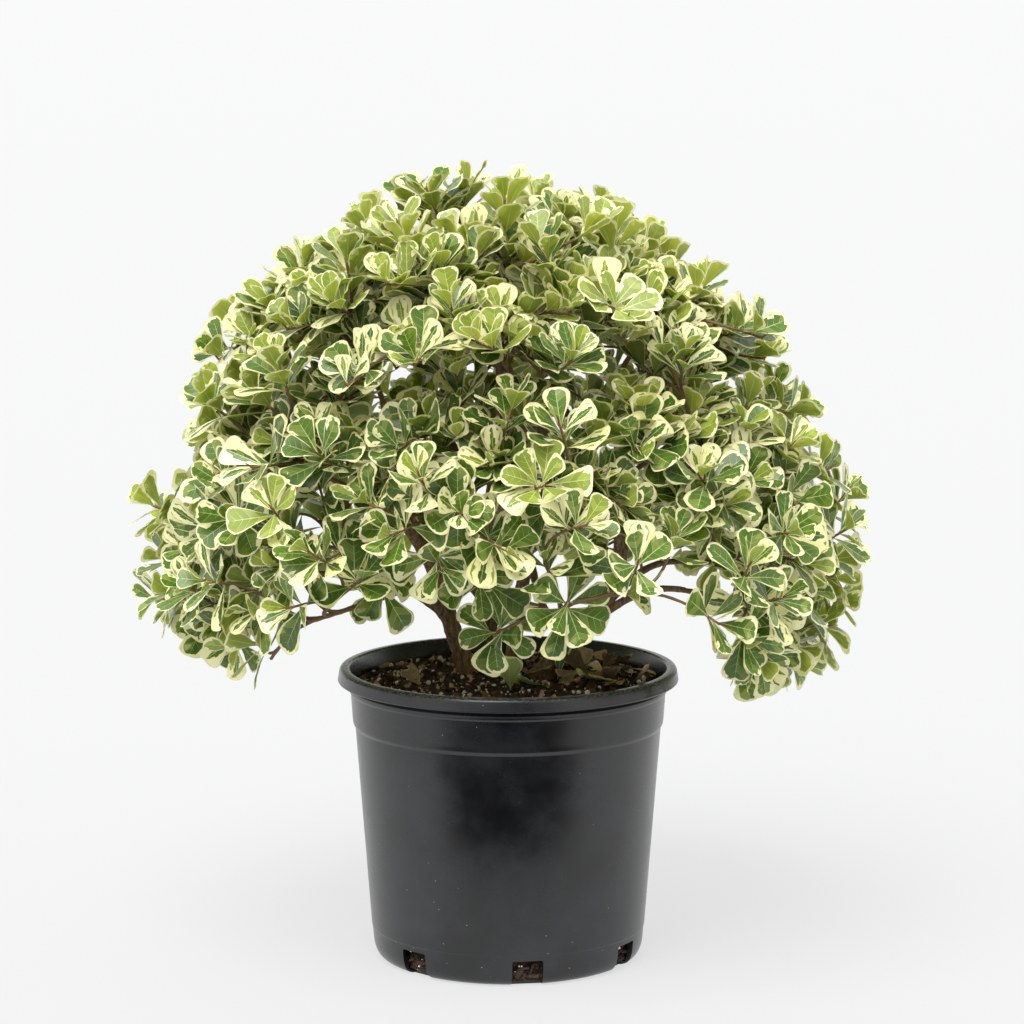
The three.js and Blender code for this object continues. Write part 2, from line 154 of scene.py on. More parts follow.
studio = bpy.data.worlds.new("studio")
studio.use_nodes = True
aim = add_node(studio, "ShaderNodeTexCoord").outputs["Generated"]
lowness = add_node(studio, "ShaderNodeVectorMath", {0: aim, 1: LOW_FRONT}, operation="DOT_PRODUCT")
strength = add_node(
    studio, "ShaderNodeMapRange",
    {"Value": lowness.outputs["Value"], "From Min": DIM_FROM, "From Max": DIMMEST_FROM,
     "To Min": ROOM_LIGHT, "To Max": FRONT_LIGHT},
    interpolation_type="SMOOTHSTEP",
)
studio.node_tree.links.new(
    strength.outputs["Result"], studio.node_tree.nodes["Background"].inputs["Strength"]
)
studio.node_tree.nodes["Background"].inputs["Color"].default_value = (1, 1, 1, 1)
bpy.context.scene.world = studio

key = add_object("key_light", bpy.data.lights.new("key_light", "SUN"))
key.data.energy = KEY_LIGHT
key.data.angle = KEY_SOFTNESS
key.rotation_euler = KEY_TILT

# Pot: a round nursery pot of black polyethylene, blow moulded in one shell with a rolled lip, a
# neck band, a step and seven drain notches at its foot. It stands flat on its underside.
MM = 0.001
POT_HEIGHT = 241
LIP_RADIUS = 139.5
FOOT_RADIUS = 100.6
NECK_RADIUS = 129.1
LIP_UNDERSIDE = 230
STEP_HEIGHT = 193
FLOOR_LINE = 26
WALL = 2.5
FLOOR = 3
INNER_FOOT = FOOT_RADIUS + 4
POT_SEGMENTS = 192
NOTCHES = 7
NOTCH_WIDTH = 25
NOTCH_HEIGHT = 22
NOTCH_DEPTH = 26
NOTCH_CORNER = 1.6
NOTCH_INSET = 3
FIRST_NOTCH = 278.2

# The shell's half section as radius, height and the radius that its corner is rounded to.
POT_SECTION = [
    (0, 0, 0),
    (FOOT_RADIUS, 0, 2),
    (FOOT_RADIUS + 6.6, 2.8, 4),
    (FOOT_RADIUS + 10, 10, 5),
    (FOOT_RADIUS + 11.4, FLOOR_LINE, 0.3),
    (FOOT_RADIUS + 11.9, FLOOR_LINE + 0.8, 0.3),
    (NECK_RADIUS - 3.9, STEP_HEIGHT - 0.5, 1),
    (NECK_RADIUS - 2.2, STEP_HEIGHT + 2.2, 0.8),
    (NECK_RADIUS - 1.7, STEP_HEIGHT + 5.5, 2),
    (NECK_RADIUS - 0.2, LIP_UNDERSIDE - 9, 0.6),
    (NECK_RADIUS + 1.3, LIP_UNDERSIDE - 7.4, 0.6),
    (NECK_RADIUS + 1.3, LIP_UNDERSIDE - 4.6, 0.6),
    (NECK_RADIUS - 0.2, LIP_UNDERSIDE - 2.6, 0.8),
    (NECK_RADIUS - 0.2, LIP_UNDERSIDE + 0.6, 0.8),
    (LIP_RADIUS - 3.5, LIP_UNDERSIDE + 1.2, 0.8),
    (LIP_RADIUS - 1.6, LIP_UNDERSIDE - 0.4, 0.8),
    (LIP_RADIUS, LIP_UNDERSIDE + 0.6, 0.9),
    (LIP_RADIUS - 0.4, LIP_UNDERSIDE + 2.4, 1),
    (LIP_RADIUS - 1.6, POT_HEIGHT - 1, 2.4),
    (LIP_RADIUS - 4, POT_HEIGHT, 2.4),
    (LIP_RADIUS - 9.5, POT_HEIGHT, 1.6),
    (NECK_RADIUS - 0.5 - WALL, LIP_UNDERSIDE - 4, 4),
    (NECK_RADIUS - 1.6 - WALL, STEP_HEIGHT + 6, 1),
    (NECK_RADIUS - 3.7 - WALL, STEP_HEIGHT, 1),
    (INNER_FOOT, FLOOR, 2),
    (0, FLOOR, 0),
]
CORNER_STEPS = 4
CORNER_LIMIT = 0.45


def rounded(section):
    """The section's points, each corner drawn as a curve within CORNER_LIMIT of its edges."""
    points = []
    for k, (radius, height, corner) in enumerate(section):
        here = Vector((radius, height))
        if not corner:
            points.append(here)
            continue
        ends = []
        for other in (section[k - 1], section[k + 1]):
            away = Vector(other[:2]) - here
            ends.append(here + away.normalized() * min(corner, CORNER_LIMIT * away.length))
        for step in range(CORNER_STEPS + 1):
            t = step / CORNER_STEPS
            points.append(ends[0].lerp(here, t).lerp(here.lerp(ends[1], t), t))
    return points


def turned(section, segments):
    """A bmesh of (radius, height) points spun once round Z, with its poles closed."""
    lathe = bmesh.new()
    ring = [lathe.verts.new((radius, 0, height)) for radius, height in section]
    edges = [lathe.edges.new(pair) for pair in zip(ring, ring[1:])]
    bmesh.ops.spin(
        lathe, geom=ring + edges, axis=(0, 0, 1), cent=(0, 0, 0), dvec=(0, 0, 0),
        angle=math.tau, steps=segments, use_merge=True,
    )
    bmesh.ops.remove_doubles(lathe, verts=lathe.verts, dist=1e-4)
    bmesh.ops.recalc_face_normals(lathe, faces=lathe.faces)
    return lathe


def add_piece(name, mesh, materials, slot, *nodes, sharp=35):
    """A mesh in metres as a piece of the plant: smooth but for edges over sharp degrees."""
    for material in materials:
        mesh.materials.append(material)
    mesh.shade_smooth()
    mesh.set_sharp_from_angle(angle=math.radians(sharp))
    piece = add_object(name, mesh)
    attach(piece, "root")
    if nodes:
        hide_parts(*nodes)
    return piece


def in_metres(name, made):
    """A mesh datablock from a bmesh in millimetres, which is freed."""
    bmesh.ops.scale(made, vec=Vector((MM, MM, MM)), verts=made.verts)
    mesh = bpy.data.meshes.new(name)
    made.to_mesh(mesh)
    made.free()
    return mesh


def cut_by(mesh, cutter):
    """The mesh less the bmesh cutter, by a Boolean modifier that is applied."""
    whole = add_object("whole", mesh)
    tool = add_object("tool", in_metres("tool", cutter))
    cut = whole.modifiers.new("cut", "BOOLEAN")
    cut.operation = "DIFFERENCE"
    cut.solver = "EXACT"
    cut.object = tool
    shaped = whole.evaluated_get(bpy.context.evaluated_depsgraph_get())
    result = bpy.data.meshes.new_from_object(shaped)
    result.name = mesh.name
    for item in (whole, tool):
        bpy.data.objects.remove(item)
    return result


def notch_azimuth(k):
    return math.radians(FIRST_NOTCH + k * 360 / NOTCHES)


def notch_cutter():
    """Seven boxes with rounded upright edges, one for each drain notch."""
    cutter = bmesh.new()
    size = Matrix.Diagonal((NOTCH_DEPTH, NOTCH_WIDTH, 2 * NOTCH_HEIGHT, 1))
    for k in range(NOTCHES):
        turn = Matrix.Rotation(notch_azimuth(k), 4, "Z")
        out = Matrix.Translation((FOOT_RADIUS - NOTCH_INSET + NOTCH_DEPTH / 2, 0, 0))
        bmesh.ops.create_cube(cutter, size=1, matrix=turn @ out @ size)
    top = [e for e in cutter.edges if all(v.co.z > 0 for v in e.verts)]
    bmesh.ops.bevel(
        cutter, geom=top, offset=NOTCH_CORNER, segments=3, profile=0.5, affect="EDGES", material=-1
    )
    return cutter


# Polyethylene with carbon black comes from the mould with a fine satin grain. Handling and
# splashed soil leave it dusty in soft patches with pale specks, so it looks charcoal, not black,
# and the top of its lip is scuffed grey; that grey is also a painted highlight along the lip's
# top edge.
GRAIN_MM = 0.7
# Grain of the lip's grey scuffs and painted highlight, and the depths below the top that it fades
# in between.
SCUFF_AND_HIGHLIGHT_MM = 2.5
SCUFF_AND_HIGHLIGHT_DEPTH = 3
SCUFF_AND_HIGHLIGHT_EDGE = 0.5
DUST_PATCH_MM = 60
SPECK_SPACING_MM = 9
SPECK_MM = 0.55
# Sockets of a node that mixes two colours.
SHARE, FIRST, SECOND, MIXED = 0, 6, 7, 2


def polyethylene_outputs(material):
    place = add_node(material, "ShaderNodeTexCoord").outputs["Object"]
    patches = add_node(
        material, "ShaderNodeTexNoise",
        {"Vector": place, "Scale": 1 / (DUST_PATCH_MM * MM), "Detail": 5, "Roughness": 0.62},
    )
    dust = add_node(
        material, "ShaderNodeMapRange",
        {"Value": patches.outputs["Fac"], "From Min": 0.38, "From Max": 0.72, "To Max": 0.75},
    )
    dusty = add_node(
        material, "ShaderNodeMix",
        {SHARE: dust.outputs["Result"], FIRST: linear("0b0c0e"), SECOND: linear("26282c")},
        data_type="RGBA",
    )
    cells = add_node(
        material, "ShaderNodeTexVoronoi",
        {"Vector": place, "Scale": 1 / (SPECK_SPACING_MM * MM), "Randomness": 1},
    )
    near = add_node(
        material, "ShaderNodeMapRange",
        {"Value": cells.outputs["Distance"], "From Min": SPECK_MM / SPECK_SPACING_MM,
         "From Max": 0.5 * SPECK_MM / SPECK_SPACING_MM, "To Max": 0.5},
    )
    picked = add_node(
        material, "ShaderNodeMath",
        {0: cells.outputs["Color"], 1: 0.55}, operation="GREATER_THAN",
    )
    speck = add_node(
        material, "ShaderNodeMath",
        {0: near.outputs["Result"], 1: picked.outputs["Value"]}, operation="MULTIPLY",
    )
    colour = add_node(
        material, "ShaderNodeMix",
        {SHARE: speck.outputs["Value"], FIRST: dusty.outputs[MIXED], SECOND: linear("b9b4a8")},
        data_type="RGBA",
    )
    height = add_node(material, "ShaderNodeSeparateXYZ", {"Vector": place})
    # The lip's top edge turns grey: scuffs together with a painted highlight.
    on_lip = add_node(
        material, "ShaderNodeMapRange",
        {"Value": height.outputs["Z"], "From Min": (POT_HEIGHT - SCUFF_AND_HIGHLIGHT_DEPTH) * MM,
         "From Max": (POT_HEIGHT - SCUFF_AND_HIGHLIGHT_EDGE) * MM},
    )
    scuffs_and_glints = add_node(
        material, "ShaderNodeTexNoise",
        {"Vector": place, "Scale": 1 / (SCUFF_AND_HIGHLIGHT_MM * MM), "Detail": 5, "Roughness": 0.7},
    )
    rubbed_and_glinting = add_node(
        material, "ShaderNodeMapRange",
        {"Value": scuffs_and_glints.outputs["Fac"], "From Min": 0.42, "From Max": 0.66, "To Max": 0.8},
    )
    scuff_and_highlight = add_node(
        material, "ShaderNodeMath",
        {0: on_lip.outputs["Result"], 1: rubbed_and_glinting.outputs["Result"]}, operation="MULTIPLY",
    )
    worn_and_highlit = add_node(
        material, "ShaderNodeMix",
        {SHARE: scuff_and_highlight.outputs["Value"], FIRST: colour.outputs[MIXED], SECOND: linear("747574")},
        data_type="RGBA",
    )
    gloss = add_node(
        material, "ShaderNodeMapRange",
        {"Value": patches.outputs["Fac"], "From Min": 0.3, "From Max": 0.75,
         "To Min": 0.22, "To Max": 0.34},
    )
    grain = add_node(
        material, "ShaderNodeTexNoise",
        {"Vector": place, "Scale": 1 / (GRAIN_MM * MM), "Detail": 3, "Roughness": 0.6},
    )
    bump = add_node(
        material, "ShaderNodeBump",
        {"Height": grain.outputs["Fac"], "Strength": 0.25, "Distance": 0.1 * MM},
    )
    return {
        "Base Color": worn_and_highlit.outputs[MIXED],
        "Roughness": gloss.outputs["Result"],
        "Normal": bump.outputs["Normal"],
    }


polyethylene = surface("black_polyethylene", {"IOR": 1.6}, polyethylene_outputs)
shell = in_metres("nursery_pot", turned(rounded(POT_SECTION), POT_SEGMENTS))
add_piece("nursery_pot", cut_by(shell, notch_cutter()), [polyethylene], "pot", "pot", sharp=40)

# Soil: moist potting mix of composted bark, peat fibre and white perlite, filled to just under
# the lip. It shows at the top and in the drain notches.
GAP = 0.3
SOIL_EDGE = 228
SOIL_TOP = 232
SOIL_CROWN_RADIUS = 75
SOIL_RINGS = 46
SOIL_SEGMENTS = 180
SOIL_SINK = 1.2
RIM_DROP = 2
EDGE_INSET = 0.9
FACE_STEP = 3
FACE_STEPS = 7
CRUMBLE = 0.03
CLOD_MM = 16
CLOD_HEIGHT = 3.2
CRUMB_MM = 3.5
CRUMB_HEIGHT = 1.6
CRUMB_PLANE = 40

INNER_WALL = [
    (INNER_FOOT, FLOOR),
    (NECK_RADIUS - 3.7 - WALL, STEP_HEIGHT),
    (NECK_RADIUS - 1.6 - WALL, STEP_HEIGHT + 6),
]


def soil_height(x, y):
    """Height of the soil's surface in millimetres, with clods and crumbs."""
    across = math.hypot(x, y)
    rise = np.interp(across, (SOIL_CROWN_RADIUS, NECK_RADIUS - WALL), (SOIL_TOP, SOIL_EDGE))
    clods = noise.noise(Vector((x, y, 0)) / CLOD_MM) * CLOD_HEIGHT
    crumbs = noise.noise(Vector((x, y, CRUMB_PLANE)) / CRUMB_MM) * CRUMB_HEIGHT
    return rise - SOIL_SINK + clods + crumbs


def soil_mesh():
    """The pot's inside as a solid, rough on top and where it shows in the notches."""
    wall = [(radius - GAP, height + GAP) for radius, height in INNER_WALL]
    edge = NECK_RADIUS - EDGE_INSET - WALL - GAP
    top = [(edge * (1 - k / SOIL_RINGS), SOIL_TOP) for k in range(SOIL_RINGS + 1)]
    notch_face = [(INNER_FOOT - GAP, FLOOR + FACE_STEP * (k + 1)) for k in range(FACE_STEPS)]
    rim = (edge, SOIL_EDGE - RIM_DROP)
    section = [(0, FLOOR + GAP), wall[0], *notch_face, *wall[1:], rim, *top]
    soil = turned([Vector(point) for point in section], SOIL_SEGMENTS)
    for vertex in soil.verts:
        x, y, z = vertex.co
        if z == SOIL_TOP:
            vertex.co.z = soil_height(x, y)
        elif z < NOTCH_HEIGHT + FLOOR:
            pull = 1 - CRUMBLE * (1 + noise.noise(vertex.co / CRUMB_MM))
            vertex.co.x *= pull
            vertex.co.y *= pull
    return in_metres("potting_mix", soil)


# Composted bark is near black when moist, with rust-brown and tan fibres of a few millimetres
# between, so colour changes from crumb to crumb.
FIBRE_MM = 2


def compost_outputs(material):
    place = add_node(material, "ShaderNodeTexCoord").outputs["Object"]
    crumbs = add_node(
        material, "ShaderNodeTexVoronoi",
        {"Vector": place, "Scale": 1 / (CRUMB_MM * MM), "Randomness": 1},
    )
    fibres = add_node(
        material, "ShaderNodeTexNoise",
        {"Vector": place, "Scale": 1 / (FIBRE_MM * MM), "Detail": 6, "Roughness": 0.7},
    )
    shade = add_node(
        material, "ShaderNodeValToRGB", {"Fac": fibres.outputs["Fac"]},
        stops=((0.44, "0f0905"), (0.55, "4a3420"), (0.67, "c8a57a")),
    )
    rust = add_node(
        material, "ShaderNodeMix",
        {SHARE: crumbs.outputs["Distance"], FIRST: shade.outputs["Color"],
         SECOND: linear("412b1a")},
        data_type="RGBA",
    )
    bump = add_node(
        material, "ShaderNodeBump",
        {"Height": fibres.outputs["Fac"], "Strength": 0.8, "Distance": 1 * MM},
    )
    return {"Base Color": rust.outputs[MIXED], "Normal": bump.outputs["Normal"]}


compost = surface("moist_bark_compost", {"Roughness": 0.9}, compost_outputs)
add_piece("potting_mix", soil_mesh(), [compost], "soil", "soil")


def seeded(seed):
    """Numbers between 0 and 1, the same on every run and as in the plant's source."""
    state = seed

    def draw():
        nonlocal state
        state = (state * 1664525 + 1013904223) % 2**32
        return state / 2**32

    return draw


def joined(name, parts):
    """One mesh in metres from parts: (vertices in mm, faces, material numbers of the faces)."""
    corners, starts, shades, places = [], [], [], []
    offset = count = 0
    for vertices, faces, face_shades in parts:
        places.append(vertices)
        for face in faces:
            starts.append(count)
            count += len(face)
            corners.extend(offset + corner for corner in face)
        shades.extend(face_shades)
        offset += len(vertices)
    mesh = bpy.data.meshes.new(name)
    mesh.vertices.add(offset)
    mesh.vertices.foreach_set("co", (np.concatenate(places) * MM).astype(np.float32).ravel())
    mesh.loops.add(count)
    mesh.loops.foreach_set("vertex_index", corners)
    mesh.polygons.add(len(starts))
    mesh.polygons.foreach_set("loop_start", starts)
    mesh.polygons.foreach_set("material_index", shades)
    mesh.update(calc_edges=True)
    mesh.validate()
    return mesh


def template(made):
    """Vertices and faces of a bmesh as arrays, for a shape that is repeated; it is freed."""
    made.verts.index_update()
    vertices = np.array([v.co for v in made.verts])
    faces = [[v.index for v in face.verts] for face in made.faces]
    made.free()
    return vertices, faces


def turn_matrix(random):
    """A random turn as a 3 by 3 array."""
    axis = Vector((random() - 0.5, random() - 0.5, random() - 0.5)).normalized()
    return np.array(Matrix.Rotation(random() * math.tau, 3, axis))


# Bark chips and perlite lie loose in the mix: chips are split flakes of 3 to 10 mm, perlite is
# puffed volcanic glass in round white grains of 1 to 5 mm.
CHIPS = 900
GRAINS = 480
NOTCH_CHIPS = 14
NOTCH_GRAINS = 5
LOOSE_REACH = 121
LOOSE_SEED = 311
UNEVEN = 0.35
NOTCH_SETBACK = 1
NOTCH_FILL = 5
NOTCH_MARGIN = 4
NOTCH_SIDES = 3
# Each size is its least and what chance adds at most, in millimetres, but for a chip's width as
# a share of its length.
CHIP_LENGTH, CHIP_LONGER, LONG_RARITY = 3, 7, 2.5
CHIP_WIDTH, CHIP_WIDER = 0.3, 0.4
CHIP_THICKNESS, CHIP_THICKER = 1, 1.6
CHIP_LIFT = 0.4
SPLIT_RARITY = 1.8
GRAIN_SIZE, GRAIN_LARGER, LARGE_RARITY = 1.2, 4, 3
GRAIN_LIFT = 0.3
TOP_FROM = SOIL_EDGE - 12


def chip_template():
    chip = bmesh.new()
    bmesh.ops.create_cube(chip, size=1)
    bmesh.ops.bevel(
        chip, geom=chip.edges[:4], offset=0.2, segments=1, profile=0.5, affect="EDGES", material=-1
    )
    return template(chip)


def grain_template():
    grain = bmesh.new()
    bmesh.ops.create_icosphere(grain, subdivisions=1, radius=0.5)
    return template(grain)


def loose_bit(shape, random, place, size, shade):
    """A copy of a shape, made uneven, sized, turned and put in its place."""
    vertices, faces = shape
    rough = 1 + UNEVEN * (np.array([[random(), random(), random()] for _ in vertices]) - 0.5)
    turned_bit = (vertices * rough * size) @ turn_matrix(random).T + place
    return turned_bit, faces, [shade] * len(faces)


def on_soil(random, lift):
    """A place on the soil's top, lifted a little off it."""
    across = LOOSE_REACH * math.sqrt(random())
    around = random() * math.tau
    x, y = across * math.cos(around), across * math.sin(around)
    return np.array((x, y, soil_height(x, y) + lift))


def in_notch(k, random):
    """A place in a drain notch, just behind the pot's wall."""
    around = notch_azimuth(k)
    out = FOOT_RADIUS + NOTCH_SETBACK + NOTCH_FILL * random()
    side = (random() - 0.5) * (NOTCH_WIDTH - NOTCH_SIDES)
    x = out * math.cos(around) - side * math.sin(around)
    y = out * math.sin(around) + side * math.cos(around)
    height = FLOOR + NOTCH_MARGIN + (NOTCH_HEIGHT - 2 * NOTCH_MARGIN) * random()
    return np.array((x, y, height))


def chips_mesh():
    random = seeded(LOOSE_SEED)
    shape = chip_template()
    places = [on_soil(random, CHIP_LIFT + random()) for _ in range(CHIPS)]
    places += [in_notch(k, random) for k in range(NOTCHES) for _ in range(NOTCH_CHIPS)]
    parts = []
    for place in places:
        long = CHIP_LENGTH + CHIP_LONGER * random() ** LONG_RARITY
        wide = long * (CHIP_WIDTH + CHIP_WIDER * random())
        size = np.array((long, wide, CHIP_THICKNESS + CHIP_THICKER * random()))
        # In the drain notches every chip takes the darkest shade, as painted shade in the notches.
        shade = int(3 * random() ** SPLIT_RARITY) if place[2] > TOP_FROM else 0
        parts.append(loose_bit(shape, random, place, size, shade))
    return joined("bark_chips", parts)


def grains_mesh():
    random = seeded(LOOSE_SEED + 1)
    shape = grain_template()
    places = [on_soil(random, GRAIN_LIFT + random()) for _ in range(GRAINS)]
    places += [in_notch(k, random) for k in range(NOTCHES) for _ in range(NOTCH_GRAINS)]
    parts = []
    for place in places:
        size = GRAIN_SIZE + GRAIN_LARGER * random() ** LARGE_RARITY
        parts.append(loose_bit(shape, random, place, size, 0))
    return joined("perlite_grains", parts)


# Pine bark flakes are matte, darker where they are moist and tan where they have split. The
# darkest shade is also painted shade on the chips that lie in the drain notches.
STREAK_MM = 1.5


def chip_bark(name, dark, light):
    def outputs(material):
        place = add_node(material, "ShaderNodeTexCoord").outputs["Object"]
        streaks = add_node(
            material, "ShaderNodeTexNoise",
            {"Vector": place, "Scale": 1 / (STREAK_MM * MM), "Detail": 3},
        )
        colour = add_node(
            material, "ShaderNodeMix",
            {SHARE: streaks.outputs["Fac"], FIRST: linear(dark), SECOND: linear(light)},
            data_type="RGBA",
        )
        return {"Base Color": colour.outputs[MIXED]}

    return surface(name, {"Roughness": 0.85}, outputs)


chip_shades = [
    chip_bark("bark_chip_moist_and_shaded", "150d07", "443022"),
    chip_bark("bark_chip_rust", "4a2c19", "94683f"),
    chip_bark("bark_chip_split", "94744e", "e4c99e"),
]
perlite = surface("puffed_perlite", {"Base Color": linear("fbf5ea"), "Roughness": 0.8})
add_piece("bark_chips", chips_mesh(), chip_shades, "soil")
add_piece("perlite_grains", grains_mesh(), [perlite], "soil")

# Stems and boughs: four woody stems lean apart from the middle of the pot, and boughs leave them
# all the way up. The bark is thin and grey-brown, cracked lengthways, with rings of leaf scars.
STEM_FOOT = 229
STEM_TIP_RADIUS = 2.8
STEM_TAPER = 0.8
BOUGH_RADIUS = 4.2
BOUGH_TIP_RADIUS = 2.4
FLARE = 0.45
FLARE_LENGTH = 0.08
CROWN_CENTRE = Vector((-7, 0, 330))
CROWN_RADIUS_X = 306
CROWN_RADIUS_Y = 296
CROWN_RISE = 325
CROWN_DROP = 250
# Each stem's foot and the points it passes, its radius at the foot and the mass it leads to.
STEMS = {
    "stem_left": ([(-31, 20), (-45, 19, 266), (-56, 16, 305), (-76, 14, 352)], 8.5, "shoulder_3"),
    "stem_right": ([(26, -4), (42, -4, 256), (68, 0, 282), (90, 6, 322)], 9.5, "shoulder_1"),
    "stem_centre": ([(2, 10), (8, 14, 280), (20, 20, 350), (36, 22, 410)], 7, "top"),
    "stem_back": ([(-8, 42), (-16, 52, 272), (-20, 66, 320), (-14, 84, 380)], 6.5, "shoulder_2"),
}
# Ring, count, first azimuth and elevation in degrees, and how far out a bough ends and the
# heart of its foliage lies, as shares of the way from the crown's centre to its outline.
RINGS = [
    ("skirt", 7, 25.7, -6, 0.54, 0.78),
    ("side", 6, 30, 25, 0.46, 0.66),
    ("shoulder", 4, 0, 52, 0.5, 0.78),
    ("top", 1, 0, 90, 0.52, 0.76),
]
# Where on its stem each ring's boughs start, as a share of the stem's length.
BOUGH_START = {"skirt": 0.2, "side": 0.42, "shoulder": 0.62}
# The azimuth in degrees that each stem's side ends at.
STEM_SIDES = [(50, "stem_right"), (130, "stem_back"), (250, "stem_left"), (290, "stem_centre"),
              (360, "stem_right")]
START_SPREAD = 0.05
START_WAVES = 3
TURNED_OUT = 0.45
LEAVING = 0.4
ARRIVING = 0.32
LIMB_STEPS = 160
HEADING_STEP = 0.005


class Path:
    """A curve through dense points, read by the share of its length."""

    def __init__(self, points):
        self.points = np.array([tuple(point) for point in points])
        lengths = np.linalg.norm(np.diff(self.points, axis=0), axis=1)
        self.along = np.concatenate(([0], np.cumsum(lengths)))
        self.length = self.along[-1]

    def at(self, share):
        """The point at a share of the length."""
        where = share * self.length
        return Vector([np.interp(where, self.along, self.points[:, k]) for k in range(3)])

    def heading(self, share):
        """The way the curve runs at a share of the length."""
        ahead, behind = min(share + HEADING_STEP, 1), max(share - HEADING_STEP, 0)
        return (self.at(ahead) - self.at(behind)).normalized()


def bezier(*controls, steps=LIMB_STEPS):
    """The path that a Bezier curve of any degree takes."""
    points = []
    for step in range(steps + 1):
        level = [Vector(c) for c in controls]
        while len(level) > 1:
            level = [a.lerp(b, step / steps) for a, b in zip(level, level[1:])]
        points.append(level[0])
    return Path(points)


def through(knots):
    """A smooth path through points, with the centripetal Catmull-Rom rule."""
    ends = [2 * knots[0] - knots[1], *knots, 2 * knots[-1] - knots[-2]]
    points = []
    for p0, p1, p2, p3 in zip(ends, ends[1:], ends[2:], ends[3:]):
        d0, d1, d2 = ((b - a).length ** 0.5 for a, b in ((p0, p1), (p1, p2), (p2, p3)))
        t1 = ((p1 - p0) / d0 - (p2 - p0) / (d0 + d1) + (p2 - p1) / d1) * d1
        t2 = ((p2 - p1) / d1 - (p3 - p1) / (d1 + d2) + (p3 - p2) / d2) * d1
        for step in range(LIMB_STEPS // 4):
            t = step / (LIMB_STEPS // 4)
            cubic = (2 * p1 - 2 * p2 + t1 + t2) * t**3
            square = (3 * p2 - 3 * p1 - 2 * t1 - t2) * t**2
            points.append(cubic + square + t1 * t + p1)
    return Path([*points, knots[-1]])


def crown_point(azimuth, elevation, share):
    """A point of the crown, by azimuth and elevation in degrees and share of the way out."""
    a, e = math.radians(azimuth), math.radians(elevation)
    rise = CROWN_RISE if e > 0 else CROWN_DROP
    out = Vector((CROWN_RADIUS_X * math.cos(e) * math.cos(a),
                  CROWN_RADIUS_Y * math.cos(e) * math.sin(a), rise * math.sin(e)))
    return CROWN_CENTRE + out * share


def lerp(a, b, t):
    return a + (b - a) * t


def stem_taper(foot):
    """A stem's radius at a share of its length, with a flare at its foot."""

    def radius(along):
        flare = FLARE * max(0, 1 - along / FLARE_LENGTH) ** 2
        return lerp(foot, STEM_TIP_RADIUS, along**STEM_TAPER) * (1 + flare)

    return radius


def stem_for(azimuth):
    """The stem that carries a bough, by the side of the plant that the bough grows to."""
    return next(stem for end, stem in STEM_SIDES if azimuth < end)


masses = {}
for ring, count, first, elevation, bough_share, heart_share in RINGS:
    for k in range(count):
        azimuth = first + k * 360 / count
        name = f"{ring}_{k + 1}" if count > 1 else ring
        masses[name] = {
            "name": name,
            "ring": ring,
            "azimuth": azimuth,
            "start": crown_point(azimuth, elevation, bough_share),
            "heart": crown_point(azimuth, elevation, heart_share),
            "twigs": [],
        }

limbs = {}
for name, (knots, foot, led) in STEMS.items():
    (x, y), *rest = knots
    start = Vector((x, y, STEM_FOOT))
    path = through([start, *(Vector(knot) for knot in rest), masses[led]["start"]])
    masses[led]["approach"] = path.heading(1)
    limbs[name] = (path, stem_taper(foot))
for name, mass in masses.items():
    if "approach" in mass:
        continue
    stem = limbs[stem_for(mass["azimuth"])][0]
    wave = math.sin(math.radians(mass["azimuth"] * START_WAVES))
    along = BOUGH_START[mass["ring"]] + START_SPREAD * wave
    root = stem.at(along)
    reach = (mass["start"] - root).length
    straight = (mass["start"] - root).normalized()
    leaving = stem.heading(along).lerp(straight, TURNED_OUT).normalized()
    mass["approach"] = (mass["heart"] - mass["start"]).normalized()
    inner = mass["start"] - mass["approach"] * reach * ARRIVING
    path = bezier(root, root + leaving * reach * LEAVING, inner, mass["start"])
    limbs["bough_" + name] = (path, lambda t: lerp(BOUGH_RADIUS, BOUGH_TIP_RADIUS, t))

BARK_SIDES = 16
BARK_STEP = 2.2
CRACK_MM = 5
CRACK_DEPTH = 0.55
CRACK_STRETCH = 0.22
CRACK_FINENESS = 2.2
LUMP_FINENESS = 0.9
LUMP_PLACE = Vector((9, 0, 0))
SCAR_SPACING = 17
SCAR_HEIGHT = 0.45
SCAR_WIDTH = 1.3
SCAR_WANDER = 2.5
SCAR_DRIFT = 0.05
SCAR_BENDS = 2
FULL_RELIEF_RADIUS = 5
COLLAR_LENGTH = 9
COLLAR = 0.55


def ring_frames(path, count):
    """Two directions across the path at each of count + 1 places, carried along without twist."""
    across = path.heading(0).orthogonal().normalized()
    frames = []
    for k in range(count + 1):
        ahead = path.heading(k / count)
        across = (across - ahead * across.dot(ahead)).normalized()
        frames.append((across, ahead.cross(across)))
    return frames


def bark_relief(angle, distance, radius):
    """How far the bark stands out: long cracks and rings where leaves have dropped."""
    ridge = Vector((math.cos(angle) * radius, math.sin(angle) * radius, distance * CRACK_STRETCH))
    cracks = abs(noise.noise(ridge * (CRACK_FINENESS / CRACK_MM))) * -CRACK_DEPTH
    lumps = noise.noise(ridge * (LUMP_FINENESS / CRACK_MM) + LUMP_PLACE) * CRACK_DEPTH
    wander = SCAR_WANDER * math.sin(angle * SCAR_BENDS + distance * SCAR_DRIFT)
    near = abs((distance + wander) % SCAR_SPACING - SCAR_SPACING / 2)
    scar = SCAR_HEIGHT * math.exp(-((near / SCAR_WIDTH) ** 2))
    return (cracks + lumps + scar) * min(1, radius / FULL_RELIEF_RADIUS)


